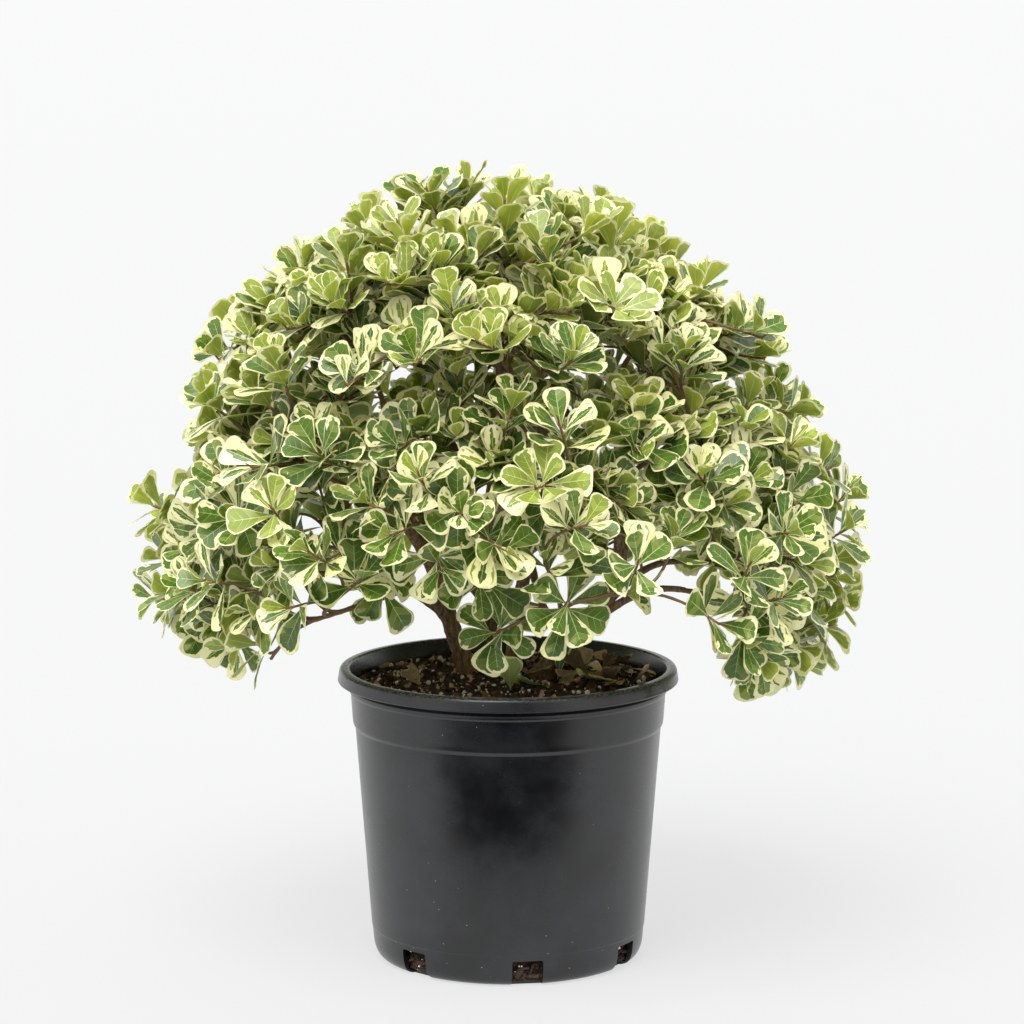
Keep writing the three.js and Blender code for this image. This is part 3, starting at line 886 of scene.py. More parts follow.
def bark_mesh(name, path, radius_at, collar):
    """A limb as a circle extruded ring by ring along its path, with the bark's relief."""
    limb = bmesh.new()
    count = math.ceil(path.length / BARK_STEP)
    frames = ring_frames(path, count)
    made = bmesh.ops.create_circle(limb, segments=BARK_SIDES, radius=1, cap_ends=True)
    ring = list(made["verts"])
    angles = [math.atan2(v.co.y, v.co.x) for v in ring]
    edges = list(limb.edges)
    for k in range(count + 1):
        if k:
            made = bmesh.ops.extrude_edge_only(limb, edges=edges)["geom"]
            fresh = [item for item in made if isinstance(item, bmesh.types.BMVert)]
            edges = [item for item in made if isinstance(item, bmesh.types.BMEdge)]
            ring = [min(fresh, key=lambda v, old=old: (v.co - old.co).length) for old in ring]
        distance = k * path.length / count
        radius = radius_at(k / count)
        if collar:
            radius *= 1 + COLLAR * math.exp(-((distance / COLLAR_LENGTH) ** 2))
        centre = path.at(k / count)
        across, aside = frames[k]
        for vertex, angle in zip(ring, angles):
            out = radius + bark_relief(angle, distance, radius)
            vertex.co = centre + (across * math.cos(angle) + aside * math.sin(angle)) * out
    bmesh.ops.contextual_create(limb, geom=edges)
    bmesh.ops.recalc_face_normals(limb, faces=limb.faces)
    return in_metres(name, limb)


# Young bark of a fig is thin, matte and grey-brown: darker in its cracks, with paler ridges and
# small corky pores.
PORE_SPACING_MM = 4
BARK_STREAK_MM = 3


def bark_outputs(material):
    place = add_node(material, "ShaderNodeTexCoord").outputs["Object"]
    long = add_node(material, "ShaderNodeMapping", {"Vector": place, "Scale": (1, 1, 0.3)})
    streaks = add_node(
        material, "ShaderNodeTexNoise",
        {"Vector": long.outputs["Vector"], "Scale": 1 / (BARK_STREAK_MM * MM), "Detail": 6,
         "Roughness": 0.68},
    )
    ramp = add_node(
        material, "ShaderNodeValToRGB", {"Fac": streaks.outputs["Fac"]},
        stops=((0.3, "3c2c1d"), (0.47, "73593d"), (0.61, "957856"), (0.78, "b79a70")),
    )
    pores = add_node(
        material, "ShaderNodeTexVoronoi",
        {"Vector": place, "Scale": 1 / (PORE_SPACING_MM * MM), "Randomness": 1},
    )
    spot = add_node(
        material, "ShaderNodeMapRange",
        {"Value": pores.outputs["Distance"], "From Min": 0.2, "From Max": 0.1, "To Max": 0.6},
    )
    colour = add_node(
        material, "ShaderNodeMix",
        {SHARE: spot.outputs["Result"], FIRST: ramp.outputs["Color"], SECOND: linear("b9a282")},
        data_type="RGBA",
    )
    bump = add_node(
        material, "ShaderNodeBump",
        {"Height": streaks.outputs["Fac"], "Strength": 0.6, "Distance": 0.6 * MM},
    )
    return {"Base Color": colour.outputs[MIXED], "Normal": bump.outputs["Normal"]}


bark = surface("thin_fig_bark", {"Roughness": 0.82}, bark_outputs)
for name, (path, radius_at) in limbs.items():
    shape = bark_mesh(name + "_bark", path, radius_at, name.startswith("bough"))
    add_piece(name + "_bark", shape, [bark], "bark", name, sharp=60)

# Twigs: each mass of foliage goes on from its limb as one stem. Twigs leave it in turn, as in the
# plant's source, and carry finer shoots whose ends are spread evenly over the crown.
SEED = 20418
GOLDEN_ANGLE = 180 * (3 - math.sqrt(5))
WAIST = 0.06
WAIST_HEIGHT = 462
WAIST_SPREAD = 48
# Heights that the leaves end above, at the sides, in front and behind, and where the sides start.
HEM_LEFT = 247
HEM_RIGHT = 215
HEM_FRONT = 294
HEM_FRONT_RISE = 0.178
HEM_BACK = 286
SIDE_FROM = 145
SIDE_OVER = 50
# Twigs end at tips like the shoots' but further in, and leave their stem between two shares of it.
TWIGS = 100
LOWEST_TIP = -0.45
TIP_SHARE = 0.76
TIP_SHARE_SPREAD = 0.08
DRAWN_IN = 0.12
TIP_ABOVE_HEM = 10
FIRST_TWIG = 0.35
LAST_TWIG = 0.95
MASS_STEM_RADIUS = 2.2
TWIG_RADIUS = 1.7
TWIG_TIP_RADIUS = 1.3
TWIG_STEPS = 12
UP = Vector((0, 0, 1))


def crown_share(point):
    """How far out a point lies: 1 on the crown's outline."""
    rise = CROWN_RISE if point.z > CROWN_CENTRE.z else CROWN_DROP
    out = point - CROWN_CENTRE
    return Vector((out.x / CROWN_RADIUS_X, out.y / CROWN_RADIUS_Y, out.z / rise)).length


def waist(height):
    """How far the crown reaches at a height, where it draws in above the low boughs."""
    return 1 - WAIST * math.exp(-(((height - WAIST_HEIGHT) / WAIST_SPREAD) ** 2))


def hem_height(point):
    """The height that no leaf hangs below, by where it is round the plant."""
    side = HEM_RIGHT if point.x > 0 else HEM_LEFT
    middle = HEM_BACK if point.y > 0 else HEM_FRONT - HEM_FRONT_RISE * point.y
    return lerp(middle, side, max(0, min(1, (abs(point.x) - SIDE_FROM) / SIDE_OVER)))


def nearest_mass(point):
    return min(masses.values(), key=lambda mass: (mass["heart"] - point).length)


def spread_tips(count, lowest, share, spread, above, seed):
    """Tips at the golden angle from the crown's top down, each with a share of the way out."""
    random = seeded(seed)
    for k in range(count):
        height = lerp(1, lowest, (k + 0.5) / count)
        out = share + spread * random()
        tip = crown_point(k * GOLDEN_ANGLE, math.degrees(math.asin(height)), out)
        tip = CROWN_CENTRE.lerp(tip, waist(tip.z))
        if tip.z > hem_height(tip) + above:
            yield tip


def bent(root, leaving, tip):
    """A path that leaves its root along the branch and bends to its tip."""
    return bezier(root, root + leaving * (tip - root).length / 2, tip, steps=TWIG_STEPS)


for tip in spread_tips(TWIGS, LOWEST_TIP, TIP_SHARE, TIP_SHARE_SPREAD, TIP_ABOVE_HEM, SEED):
    mass = nearest_mass(tip)
    mass["twigs"].append(tip.lerp(mass["heart"], DRAWN_IN))

twigs = []
for mass in masses.values():
    end = mass["heart"].copy()
    end.z = max(end.z, hem_height(end))
    mass["stem"] = bent(mass["start"], mass["approach"], end)
    mass["branches"] = [mass["stem"]]
    twigs.append((mass["stem"], MASS_STEM_RADIUS, TWIG_RADIUS, 0))
    for k, tip in enumerate(mass["twigs"]):
        along = lerp(FIRST_TWIG, LAST_TWIG, (k + 0.5) / len(mass["twigs"]))
        twig = bent(mass["stem"].at(along), mass["stem"].heading(along), tip)
        mass["branches"].append(twig)
        twigs.append((twig, TWIG_RADIUS, TWIG_TIP_RADIUS, 0))

# A shoot leaves the branch of its mass that passes nearest to a point well inside of its tip.
# Outer shoots bear full rosettes. Inner ones stop lower in the crown and bear older leaves, whose
# darker shades also paint shade inside the crown. First come the tips of the few that hang low in
# front.
LOW_SHOOTS = [(-14, -124, 290), (-30, -152, 343), (-92, -136, 340)]
# Outer, inner and top shoots as number, lowest tip as a share of the crown's rise, share of the
# way out and its spread, least height over the hem, leaves, and whether they are inner ones.
SHOOT_KINDS = [
    (330, -0.52, 0.75, 0.2, 16, 10, False),
    (185, -0.2, 0.66, 0.12, 40, 7, True),
    (64, 0.62, 0.62, 0.26, 0, 9, False),
]
SHOOT_STARTS = (0.45, 0.6, 0.75, 0.9)
SHOOT_BEHIND = 0.45
SHOOT_RADIUS = 1.35
SHOOT_TIP_RADIUS = 0.95
BUD_LENGTH = 7
BUD_RADIUS = 1.15
BUD_TIP_RADIUS = 0.3
BUD_SUNK = 9
LOW_LEAN = 0.2
HIGH_LEAN = 0.85
FACING_OUT = 0.5
CREST = 520
LOW_SIDE = 340
LEAVES_MORE = 2
HANGING_LEAVES = 9
TWIG_LEAVES = 7
LEAFY_FROM = 300
LIFTED = 1
rosettes = []


def rosette_axis(path):
    """The way a shoot's end faces: outwards, and the more upright the higher it grows."""
    outward = (path.at(1) - CROWN_CENTRE).normalized()
    lean = lerp(LOW_LEAN, HIGH_LEAN, max(0, outward.z))
    return (path.heading(1).lerp(outward, FACING_OUT) + lean * UP).normalized()


def grow_shoots(tips, leaves, inside, low=False):
    """Adds a shoot with its bud for each tip. A low one hangs from the limb nearest to it."""
    for tip in tips:
        mass = nearest_mass(tip)
        behind = tip if low else tip.lerp(mass["heart"], SHOOT_BEHIND)
        branches = [path for path, _ in limbs.values()] if low else mass["branches"]
        ways = [(branch, share) for branch in branches for share in SHOOT_STARTS]
        branch, share = min(ways, key=lambda way: (way[0].at(way[1]) - behind).length)
        shoot = bent(branch.at(share), branch.heading(share), tip)
        bud = rosette_axis(shoot) * BUD_LENGTH
        bud_path = bezier(tip - bud / BUD_SUNK, tip + bud / 2, tip + bud, steps=TWIG_STEPS)
        twigs.append((shoot, SHOOT_RADIUS, SHOOT_TIP_RADIUS, 1))
        twigs.append((bud_path, BUD_RADIUS, BUD_TIP_RADIUS, 1))
        low_side = abs(tip.x) > SIDE_FROM and tip.z < LOW_SIDE
        count = leaves + LEAVES_MORE * (int(tip.z > CREST) - int(low_side))
        rosettes.append((mass, shoot, count, inside, low))


grow_shoots([Vector(tip) for tip in LOW_SHOOTS], HANGING_LEAVES, False, low=True)
for k, (count, lowest, share, spread, above, leaves, inside) in enumerate(SHOOT_KINDS):
    tips = spread_tips(count, lowest, share, spread, above, SEED + 7 + k)
    grow_shoots(tips, leaves, inside)
for mass in masses.values():
    leafy = [twig for twig in mass["branches"][1:] if twig.at(1).z > LEAFY_FROM]
    rosettes.extend((mass, twig, TWIG_LEAVES, True, False) for twig in leafy)
    if mass["stem"].at(1).z > mass["heart"].z + LIFTED:
        rosettes.insert(0, (mass, mass["stem"], HANGING_LEAVES, False, True))

TWIG_SIDES = 5
TWIG_STEP = 7
KNEE = 0.16


def twig_part(path, radius, tip_radius, shade):
    """A tapering five-sided twig as arrays, closed at both ends."""
    count = max(2, math.ceil(path.length / TWIG_STEP))
    rings = []
    for k, (across, aside) in enumerate(ring_frames(path, count)):
        knee = 1 + KNEE * (k % 2)
        thick = lerp(radius, tip_radius, k / count) * knee
        for side in range(TWIG_SIDES):
            angle = math.tau * side / TWIG_SIDES
            out = across * math.cos(angle) + aside * math.sin(angle)
            rings.append(tuple(path.at(k / count) + out * thick))
    faces = [list(range(TWIG_SIDES))[::-1]]
    for k in range(count):
        for side in range(TWIG_SIDES):
            low, high = k * TWIG_SIDES, (k + 1) * TWIG_SIDES
            after = (side + 1) % TWIG_SIDES
            faces.append([low + side, low + after, high + after, high + side])
    faces.append([count * TWIG_SIDES + side for side in range(TWIG_SIDES)])
    tip_faces = 2 * TWIG_SIDES + 1
    shades = [0] * (len(faces) - tip_faces) + [shade] * tip_faces
    return np.array(rings), faces, shades


# Twigs are thin bark over green wood. The newest growth at their ends is still red-brown.
twig_bark = surface("twig_bark", {"Base Color": linear("70563c"), "Roughness": 0.7})
young_bark = surface("young_shoot_bark", {"Base Color": linear("7c4f32"), "Roughness": 0.55})
twig_mesh = joined("twigs", [twig_part(*twig) for twig in twigs])
add_piece("twigs", twig_mesh, [twig_bark, young_bark], "bark", sharp=80)

# Leaves: blunt leathery triangles of 22 to 43 mm on short stalks, in spirals at the ends of the
# shoots. Each is deep green inside an uneven cream edge, with a pale midrib and faint side veins.
BLADES = 32
GREEN_BLADES = 20
BLADE_SEED = 77
MIDRIB = [0, 0.07, 0.17, 0.33, 0.50, 0.66, 0.80]
OVAL = [(0.012, 0), (0.016, 0.07), (0.09, 0.24), (0.21, 0.46), (0.30, 0.66), (0.295, 0.83),
        (0.175, 0.96), (0, 1)]
BLUNT = [(0.012, 0), (0.016, 0.07), (0.07, 0.25), (0.165, 0.48), (0.275, 0.71), (0.335, 0.87),
         (0.225, 0.98), (0, 0.985)]
PATCH_CHANCE = [0, 0.05, 0.12, 0.16, 0.22, 0.32, 0.38]
MIDRIB_WIDTH = 0.012
MIDRIB_TAPER = 0.6
MIDRIB_END = 0.93
VEIN_WIDTH = 0.004
HALF_WIDTH = 0.33
BLADE_DEPTH = 0.012
END_DEPTH = BLADE_DEPTH / 2
SIDE_DEPTH = BLADE_DEPTH / 5
# Ranges that each leaf's width, fold and bends are drawn from.
WIDTHS = 0.82, 1.1
FOLDS = 0.06, 0.42
FOLD_RARITY = 1.5
RECURVES = 0.1, 0.9
ARCHES = -0.06, 0.24
SWAYS = -0.06, 0.06
RIPPLES = 0, 0.025
RIPPLE_WAVES = 19
RIPPLE_START = 3
TWISTS = -0.16, 0.16
RIM_WAVER = 0.97, 1.03
MIDDLE_WAVER = 0.98, 1.02
# How far the green reaches from the midrib to the rim, at the veins, between them, in pale
# leaves and in the cream patches of the others.
GREEN_REACHES = 0.66, 0.92
VEIN_INDENT = 0.05
CELL_INDENTS = -0.02, 0.07
UNDER_INDENT = 0.04
PALE_REACHES = 0.08, 0.3
PATCH_REACHES = 0.35, 0.7
REACH_SPREAD = 0.1
WIDEST_PATCH = 0.9
PALE_CHANCE = 0.38
PALE_SIDE_CHANCE = 0.45
# Chance of a grey-green cell, for grey marbling and as a painted sheen.
GREY_AND_SHEEN_CHANCE = 0.22
GREEN, GREY_AND_SHEEN, CREAM, VEIN, UNDER, UNDER_CREAM = range(6)


def smooth_point(points, where):
    """A point of a smooth line through points; whole numbers are the points themselves."""
    k = min(int(where), len(points) - 2)
    t = where - k
    before = points[max(k - 1, 0)]
    after = points[k + 2] if k + 2 < len(points) else (-points[-2][0], points[-2][1])
    found = []
    for a, b, c, d in zip(before, points[k], points[k + 1], after):
        bend = (2 * a - 5 * b + 4 * c - d) * t**2 + (3 * b - a - 3 * c + d) * t**3
        found.append(0.5 * (2 * b + (c - a) * t + bend))
    return found


def blade(random, pied):
    """One leaf of length 1 along Y with its upper face to +Z: vertices, faces and shades."""
    blunt = random()
    outline = [[lerp(a, b, blunt) for a, b in zip(*pair)] for pair in zip(OVAL, BLUNT)]
    wide = lerp(*WIDTHS, random())
    fold = lerp(*FOLDS, random() ** FOLD_RARITY)
    recurve = lerp(*RECURVES, random())
    arch = lerp(*ARCHES, random())
    sway = lerp(*SWAYS, random())
    ripple = lerp(*RIPPLES, random())
    twist = lerp(*TWISTS, random())
    edge = lerp(*GREEN_REACHES, random())
    pale = pied and random() < PALE_CHANCE
    pale_side = (1, -1)[int(2 * random())] if pied else 0
    vertices, faces, shades = [], [], []

    def corner(x, y, drop=0):
        side = abs(x)
        z = fold * side - recurve * side**2 - arch * y**2 - drop + twist * x * y
        z += ripple * math.sin(RIPPLE_WAVES * y + RIPPLE_START * wide) * side / HALF_WIDTH
        vertices.append((x * wide + sway * y**2, y, z))
        return len(vertices) - 1

    def face(shade, side, *corners):
        kept = [c for k, c in enumerate(corners) if c != corners[k - 1]]
        if len(kept) > 2:
            faces.append(kept[::side])
            shades.append(shade)

    last = len(MIDRIB)
    end = corner(0, MIDRIB_END)
    apex = corner(*outline[-1])
    under_end = corner(0, MIDRIB_END, END_DEPTH)
    halves = []
    for side in (1, -1):
        rim = [corner(side * x * lerp(*RIM_WAVER, random()), y) for x, y in outline[:-1]]
        rim.append(apex)
        middle = []
        for k in range(last):
            x, y = smooth_point(outline, k + 0.5)
            wavered = side * x * lerp(*MIDDLE_WAVER, random()) if k else 0
            middle.append(corner(wavered, y) if k else rim[0])
        width = [MIDRIB_WIDTH * (1 - MIDRIB_TAPER * y) for y in MIDRIB]
        lower, upper = rim[:2], rim[:2]
        for w, y in list(zip(width, MIDRIB))[2:]:
            lower.append(corner(side * w, y - VEIN_WIDTH))
            upper.append(corner(side * w, y + VEIN_WIDTH))
        # How far the green reaches at each cell's start, middle and end.
        at_vein = [edge - VEIN_INDENT * random() for _ in range(last + 1)]
        reach = []
        for k in range(last):
            patch = PATCH_CHANCE[k] + (PALE_SIDE_CHANCE if side == pale_side else 0)
            cell = [at_vein[k], edge - lerp(*CELL_INDENTS, random()), at_vein[k + 1]]
            if pale or random() < patch:
                least = lerp(*(PALE_REACHES if pale else PATCH_REACHES), random())
                cell = [min(WIDEST_PATCH, least + REACH_SPREAD * random()) for _ in cell]
            reach.append(cell)

        def across(k, share, drop=0):
            """A point on side vein k, by its share of the way from the midrib to the rim."""
            x, y = outline[k]
            inner = side * width[k]
            return corner(lerp(inner, side * x, share), lerp(MIDRIB[k], y, share), drop)

        rows = [(rim[0],) * 3, (rim[1],) * 3]
        for k in range(2, last):
            before, after = reach[k - 1][2], reach[k][0]
            near = across(k, min(before, after))
            far = near if before == after else across(k, max(before, after))
            rows.append((near, near if before <= after else far, near if after <= before else far))
        rows.append((end,) * 3)
        for k in range(1, last):
            near, other, start = rows[k]
            after_near, finish, after_other = rows[k + 1]
            low, high = upper[k], lower[k + 1] if k + 1 < last else end
            x, y = smooth_point(outline, k + 0.5)
            next_y = MIDRIB[k + 1] if k + 1 < last else MIDRIB_END
            inner_y = (MIDRIB[k] + next_y) / 2
            share = reach[k][1]
            bend = corner(lerp(side * width[k], side * x, share), lerp(inner_y, y, share))
            rim_side = other if start == near else start
            next_rim_side = after_other if finish == after_near else finish
            # Grey-green cells are the leaf's grey marbling and also a painted sheen.
            leaf_green = GREY_AND_SHEEN if random() < GREY_AND_SHEEN_CHANCE else GREEN
            face(leaf_green, side, low, near, start, bend, finish, after_near, high)
            face(CREAM, side, start, rim_side, rim[k], middle[k], rim[k + 1], next_rim_side,
                 finish, bend)
            if k > 1:
                face(VEIN, side, lower[k], near, upper[k])
        under = [corner(side * w, y, BLADE_DEPTH) for w, y in zip(width, MIDRIB)] + [under_end]
        inner = [across(k, edge - UNDER_INDENT, SIDE_DEPTH) for k in range(2, last)]
        inner = [*under[:2], *inner, under_end]
        face(VEIN, -side, under[0], rim[0], rim[1], under[1])
        for k in (1, 3, 5):
            face(UNDER, -side, *under[k : k + 3][::-1], *inner[k : k + 3])
            outer = (rim[k], middle[k], rim[k + 1], middle[k + 1], rim[k + 2])
            face(UNDER_CREAM, -side, *inner[k : k + 3][::-1], *outer)
        halves.append((lower, upper, under))
    (right_low, right_up, right_under), (left_low, left_up, left_under) = halves
    face(VEIN, 1, left_under[0], right_under[0], right_low[0], left_low[0])
    for k in (0, 1, 3, 5):
        after = min(k + 2, last) if k else 1
        ridge = [*right_under[k : after + 1], *left_under[k : after + 1][::-1]]
        face(VEIN, -1, *ridge)
    for k in range(last):
        after = (right_low[k + 1], left_low[k + 1]) if k + 1 < last else (end, end)
        face(VEIN, 1, right_low[k], right_up[k], *after, left_up[k], left_low[k])
    return np.array(vertices), faces, shades


blade_random = seeded(BLADE_SEED)
blades = [blade(blade_random, k >= GREEN_BLADES) for k in range(BLADES)]

# A fig's leaf has a waxy upper face with a soft gloss and a matte underside, and is thin enough
# for light to spread inside it.
UPPER_ROUGHNESS = 0.3
UNDER_ROUGHNESS = 0.55
# Shades for grown, young and old leaves: green, grey-green, cream, vein, underside and its edge.
# Grey-green is the leaf's grey marbling and also a painted sheen. The old shades also serve as
# painted shade on the leaves inside the crown.
LEAF_SHADES = {
    "grown": ("496722", "6f803b", "f0ebae", "b1bd75", "8e9744", "e8e4a1"),
    "young": ("7f8f34", "96a347", "f4f0b3", "c8cf84", "a7af50", "edeaa7"),
    "old": ("37521b", "596a2f", "eae5a3", "92a160", "758437", "dbd890"),
}
GROWN, YOUNG, OLD_AND_SHADED = range(3)
PARTS = ("green", "grey_green_and_sheen", "cream", "vein", "underside", "underside_cream")
leaf_materials = []
for age, shades in LEAF_SHADES.items():
    for part, colour in zip(PARTS, shades):
        rough = UNDER_ROUGHNESS if part.startswith("under") else UPPER_ROUGHNESS
        leaf_materials.append(surface(
            f"{age}_leaf_{part}",
            {"Base Color": linear(colour), "Roughness": rough, "IOR": 1.45,
             "Subsurface Weight": 0.35, "Subsurface Radius": (0.8, 1, 0.3),
             "Subsurface Scale": 2 * MM},
        ))

# Openings that show the sky through the lower crown, seen from the front: x, z and half sizes.
SKY_GAPS = [
    (112, 320, 14, 12), (130, 303, 13, 8), (-160, 359, 11, 12), (-25, 388, 9, 11),
    (-87, 303, 8, 11), (88, 342, 10, 8), (-218, 431, 9, 6), (10, 302, 5, 10), (-82, 346, 5, 10),
    (129, 324, 6, 9), (142, 451, 6, 6), (-139, 345, 5, 9), (20, 336, 6, 6), (182, 277, 8, 7),
    (175, 290, 5, 6), (178, 312, 5, 6),
]
EYE = Vector(CAMERA_PLACE) / MM


def shows_sky(point):
    """Whether a point lies in an opening, by the line from the eye through it to the pot's axis."""
    seen = EYE + (point - EYE) * (-EYE.y / (point.y - EYE.y))
    return any(math.hypot((seen.x - x) / w, (seen.z - z) / h) < 1 for x, z, w, h in SKY_GAPS)


# A rosette's leaves, from the bud down: lengths as shares of LEAF_LENGTH, spacings along the shoot
# in millimetres and opening angles in degrees, each from the youngest leaf to the oldest.
LEAF_LENGTH = 38
LENGTHS = 0.66, 1
HANGING_LENGTHS = 0.78, 0.95
LENGTH_GROWTH = 0.6
LENGTH_SPREAD = 0.24
LEAF_SPACING = 2.1
TOP_SPACING = 3.3
LOWEST_LEAF = 0.1
INNER_OPENING = 18
OUTER_OPENING = 86
TOP_OPENING = 50
HANGING_OPENING = 58, 90
OPENING_GROWTH = 0.75
OPENING_SPREAD = 18
HANGING_RISE = 0.2
UPRIGHT = 0.1
DROOP = 0.5
DROOP_FROM = 380
DROOP_OVER = 140
HANGING_DROOP = 0.1
# A leaf without room turns or leans by these degrees, or else it isn't there.
TURNS = (0, 12, -12, 24, -24, 38, -38)
LEANS = (0, 10, -12, -24)
LEAF_ROOM = 8
POT_CLEARANCE = 6
BROAD_AT = 0.7
WING = 0.22
MOST_LEAVES = 6000
# Chances from the crown's middle to its top: all leaves young, and young ones as dark as grown.
FRESH_CHANCE = 0.02, 0.62
FRESH_RISE = 1.6
GREEN_HEART_CHANCE = 0.85, 0.15
YOUNG_UNTIL = 0.22
OLD_FROM = 0.8

centres = np.zeros((MOST_LEAVES, 3))
owners = np.zeros(MOST_LEAVES, dtype=int)
leaf_count = 0
leaf_parts = {name: [] for name in masses}


def leaf_fits(root, direction, across, length, rosette, hangs):
    """Whether a leaf stays in the crown, above its hem, off the pot and clear of other leaves."""
    tip = root + direction * length
    if crown_share(tip) > waist(tip.z) or tip.z < hem_height(tip) and not hangs:
        return False
    low = min(tip.z, root.z)
    if low < POT_HEIGHT + POT_CLEARANCE and math.hypot(tip.x, tip.y) < LIP_RADIUS + POT_CLEARANCE:
        return False
    if hangs:
        return True
    broad = root + direction * (BROAD_AT * length)
    wing = across * (WING * length)
    if any(shows_sky(point) for point in (broad, broad - wing, broad + wing, tip)):
        return False
    gaps = np.linalg.norm(centres[:leaf_count] - np.array(broad), axis=1)
    return not np.any((gaps < LEAF_ROOM) & (owners[:leaf_count] != rosette))


def add_leaf(name, shape, root, direction, across, length, stage, rosette):
    """Puts a leaf in its mass, with the materials of its age."""
    global leaf_count
    vertices, faces, shades = shape
    basis = np.array((across, direction, across.cross(direction)))
    placed = (vertices * length) @ basis + np.array(root)
    leaf_parts[name].append((placed, faces, [stage * len(PARTS) + shade for shade in shades]))
    centres[leaf_count] = root + direction * (BROAD_AT * length)
    owners[leaf_count] = rosette
    leaf_count += 1


def add_rosette(name, path, count, inside, hangs, rosette, random):
    """Leaves in a spiral round a shoot's end: young ones upright, old ones wide or drooping."""
    tip = path.at(1)
    outward = (tip - CROWN_CENTRE).normalized()
    axis = rosette_axis(path)
    if hangs:
        axis = Vector((outward.x, outward.y, HANGING_RISE)).normalized()
    side = axis.cross(UP)
    side = side.normalized() if side.length > UPRIGHT else Vector((1, 0, 0))
    phase = random() * 360
    low = max(0, min(1, (DROOP_FROM - tip.z) / DROOP_OVER))
    rise = max(0, outward.z)
    opened = INNER_OPENING, lerp(OUTER_OPENING, TOP_OPENING, rise)
    spacing = lerp(LEAF_SPACING, TOP_SPACING, rise) / path.length
    fresh = random() < lerp(*FRESH_CHANCE, rise**FRESH_RISE) and not inside
    green_heart = random() < lerp(*GREEN_HEART_CHANCE, rise)
    if hangs:
        low, opened, fresh, green_heart = HANGING_DROOP, HANGING_OPENING, False, True
    for k in range(count):
        age = k / (count - 1)
        root = path.at(max(LOWEST_LEAF, 1 - spacing * k))
        opening = lerp(*opened, age**OPENING_GROWTH) + OPENING_SPREAD * (random() - 0.5)
        length = LEAF_LENGTH * lerp(*(HANGING_LENGTHS if hangs else LENGTHS), age**LENGTH_GROWTH)
        length *= 1 + LENGTH_SPREAD * (random() - 0.5)
        for more, turn in ((more, turn) for more in LEANS for turn in TURNS):
            wide = math.radians(opening + more)
            out = side.copy()
            out.rotate(Matrix.Rotation(math.radians(phase + k * GOLDEN_ANGLE + turn), 3, axis))
            direction = axis * math.cos(wide) + out * math.sin(wide)
            direction = (direction - UP * DROOP * age * low).normalized()
            facing = axis * math.sin(wide) - out * math.cos(wide)
            across = direction.cross(facing).normalized()
            if not leaf_fits(root, direction, across, length, rosette, hangs):
                continue
            stage = GROWN
            # Inner rosettes take the old shades: older leaves, and painted shade inside the crown.
            if inside or age > OLD_FROM and not fresh:
                stage = OLD_AND_SHADED
            elif fresh or age < YOUNG_UNTIL and not green_heart:
                stage = YOUNG
            shape = blades[int(random() * (GREEN_BLADES if hangs else BLADES))]
            add_leaf(name, shape, root, direction, across, length, stage, rosette)
            break


leaf_random = seeded(SEED + 11)
for rosette, (mass, *rest) in enumerate(rosettes):
    add_rosette(mass["name"], *rest, rosette, leaf_random)
for name, parts in leaf_parts.items():
    leaves = joined(f"leaves_{name}", parts)
    add_piece(f"leaves_{name}", leaves, leaf_materials, "foliage", f"foliage_{name}", sharp=50)

# Fallen leaves: dry brown ones curl up in a drift right of the stems, and a few fresh ones lie
# on the soil or lean on a stem. They lie loose.
DRY_LEAVES = 46
# The drift's middle as x and y, and its half sizes.
DRIFT = (80, -8, 30, 46)
# Ranges that a dry leaf's bends in radians, tilts in degrees, lift and length are drawn from.
DRY_BENDS_ALONG = 0.4, 1.4
DRY_BENDS_ACROSS = 1, 3
DRY_PITCHES = -14, 14
DRY_ROLLS = -24, 24
DRY_LIFTS = 3, 12
DRY_LENGTHS = 16, 29
FRESH_BENDS = 0.5, 0.8
LITTER_ROUGHNESS = 0.6
LITTER_SEED = 5
# Fresh leaves as x, y, lift, heading and pitch in degrees, length in mm, and shade.
FRESH = [
    (92, -36, 5, 200, 4, 40, "yellow"), (8, -10, 3, 320, 12, 34, "green"),
    (34, -46, 2, 175, 3, 36, "green"), (2, -70, 2, 265, 48, 34, "lime"),
    (40, -24, 4, 70, 62, 38, "green"), (-70, -40, 2, 120, 6, 26, "dry"),
]
LITTER_SHADES = {
    "dry": ("a58a66", "b39873", "ccb68e", "977b58", "9a7f5b", "b0966e"),
    "tan": ("d6c29a", "dcc8a0", "ecdfbc", "c4ac84", "cbb48c", "ddcaa2"),
    "dark": ("584430", "68523a", "907656", "4e3b26", "665036", "7c6446"),
    "yellow": ("cfc77c", "d8d18c", "e8e2a4", "afa662", "c5bd76", "dcd594"),
    "green": ("4f7034", "6b8548", "ccd094", "93a868", "7f9450", "c8ca90"),
    "lime": ("8a9c50", "9dad60", "d5d99b", "b3bd78", "9aa85c", "ced294"),
}


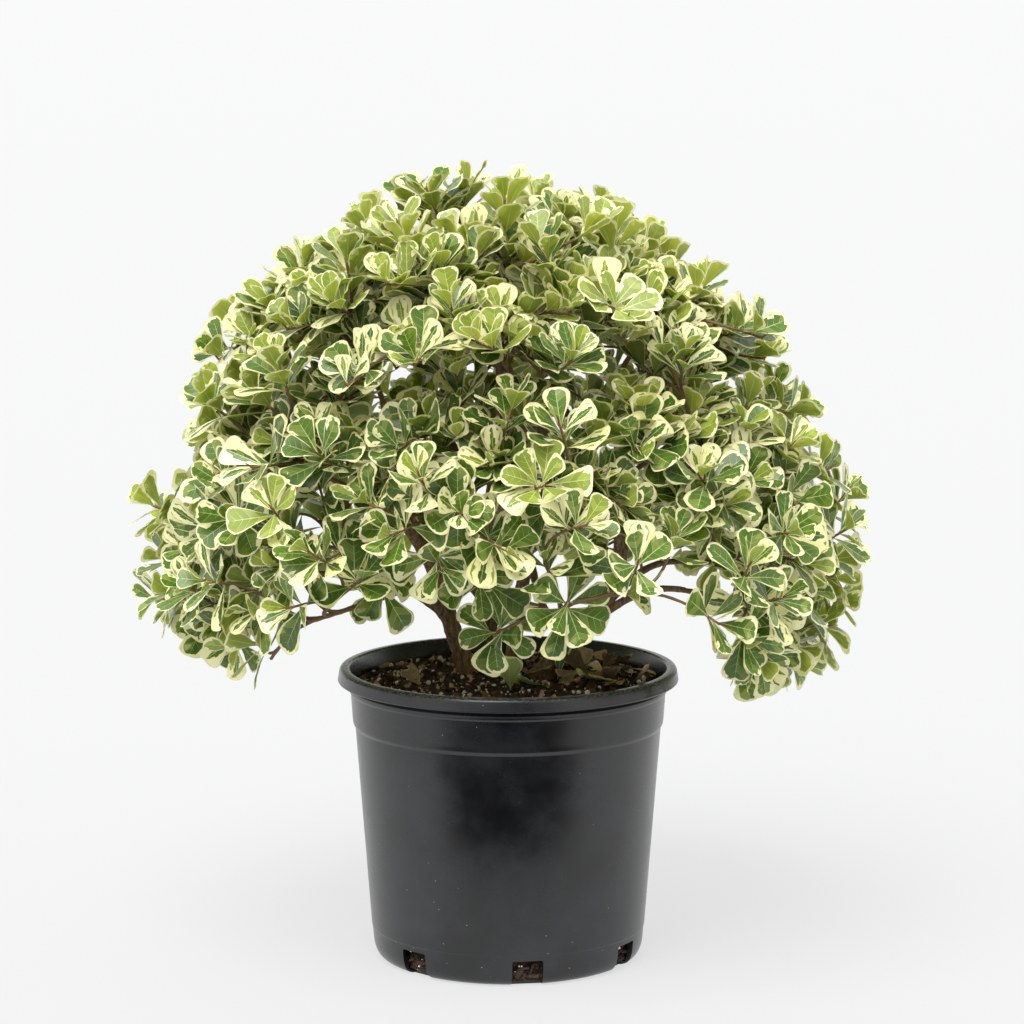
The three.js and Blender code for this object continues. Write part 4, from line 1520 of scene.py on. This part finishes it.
def curled(vertices, length, along, across):
    """A leaf bent into arcs of so many radians along its length and across it."""
    x, y, z = vertices.T
    bent_x = np.sin(across * x) / across
    bent_y = np.sin(along * y) / along
    lift = z + (1 - np.cos(along * y)) / along + (1 - np.cos(across * x)) / across
    return np.stack((bent_x, bent_y, lift), axis=1) * length


litter_materials = []
for name, shades in LITTER_SHADES.items():
    for part, colour in zip(PARTS, shades):
        litter_materials.append(surface(
            f"{name}_fallen_leaf_{part}",
            {"Base Color": linear(colour), "Roughness": LITTER_ROUGHNESS},
        ))


def litter_part(x, y, lift, heading, pitch, roll, length, shade, along, across, random):
    """One curled leaf, lying over the soil at x and y."""
    vertices, faces, shades = blades[int(random() * BLADES)]
    first = len(PARTS) * list(LITTER_SHADES).index(shade)
    turn = Matrix.Rotation(math.radians(heading - 90), 3, "Z")
    turn = turn @ Matrix.Rotation(math.radians(pitch), 3, "X")
    turn = turn @ Matrix.Rotation(math.radians(roll), 3, "Y")
    placed = curled(vertices, length, along, across) @ np.array(turn).T
    placed += np.array((x, y, soil_height(x, y) + lift))
    return placed, faces, [first + number for number in shades]


random = seeded(LITTER_SEED)
litter = []
for _ in range(DRY_LEAVES):
    out, around = math.sqrt(random()), random() * math.tau
    x = DRIFT[0] + DRIFT[2] * out * math.cos(around)
    y = DRIFT[1] + DRIFT[3] * out * math.sin(around)
    bends = lerp(*DRY_BENDS_ALONG, random()), lerp(*DRY_BENDS_ACROSS, random())
    upset = 180 if random() < 0.5 else 0
    heading = 360 * random()
    pitch = lerp(*DRY_PITCHES, random())
    roll = upset + lerp(*DRY_ROLLS, random())
    shade = ("tan", "dry", "dark")[int(3 * random())]
    lift = lerp(*DRY_LIFTS, random())
    length = lerp(*DRY_LENGTHS, random())
    litter.append(
        litter_part(x, y, lift, heading, pitch, roll, length, shade, *bends, random)
    )
for x, y, lift, heading, pitch, length, shade in FRESH:
    litter.append(
        litter_part(x, y, lift, heading, pitch, 0, length, shade, *FRESH_BENDS, random)
    )
add_piece("fallen_leaves", joined("fallen_leaves", litter), litter_materials, "foliage", sharp=50)
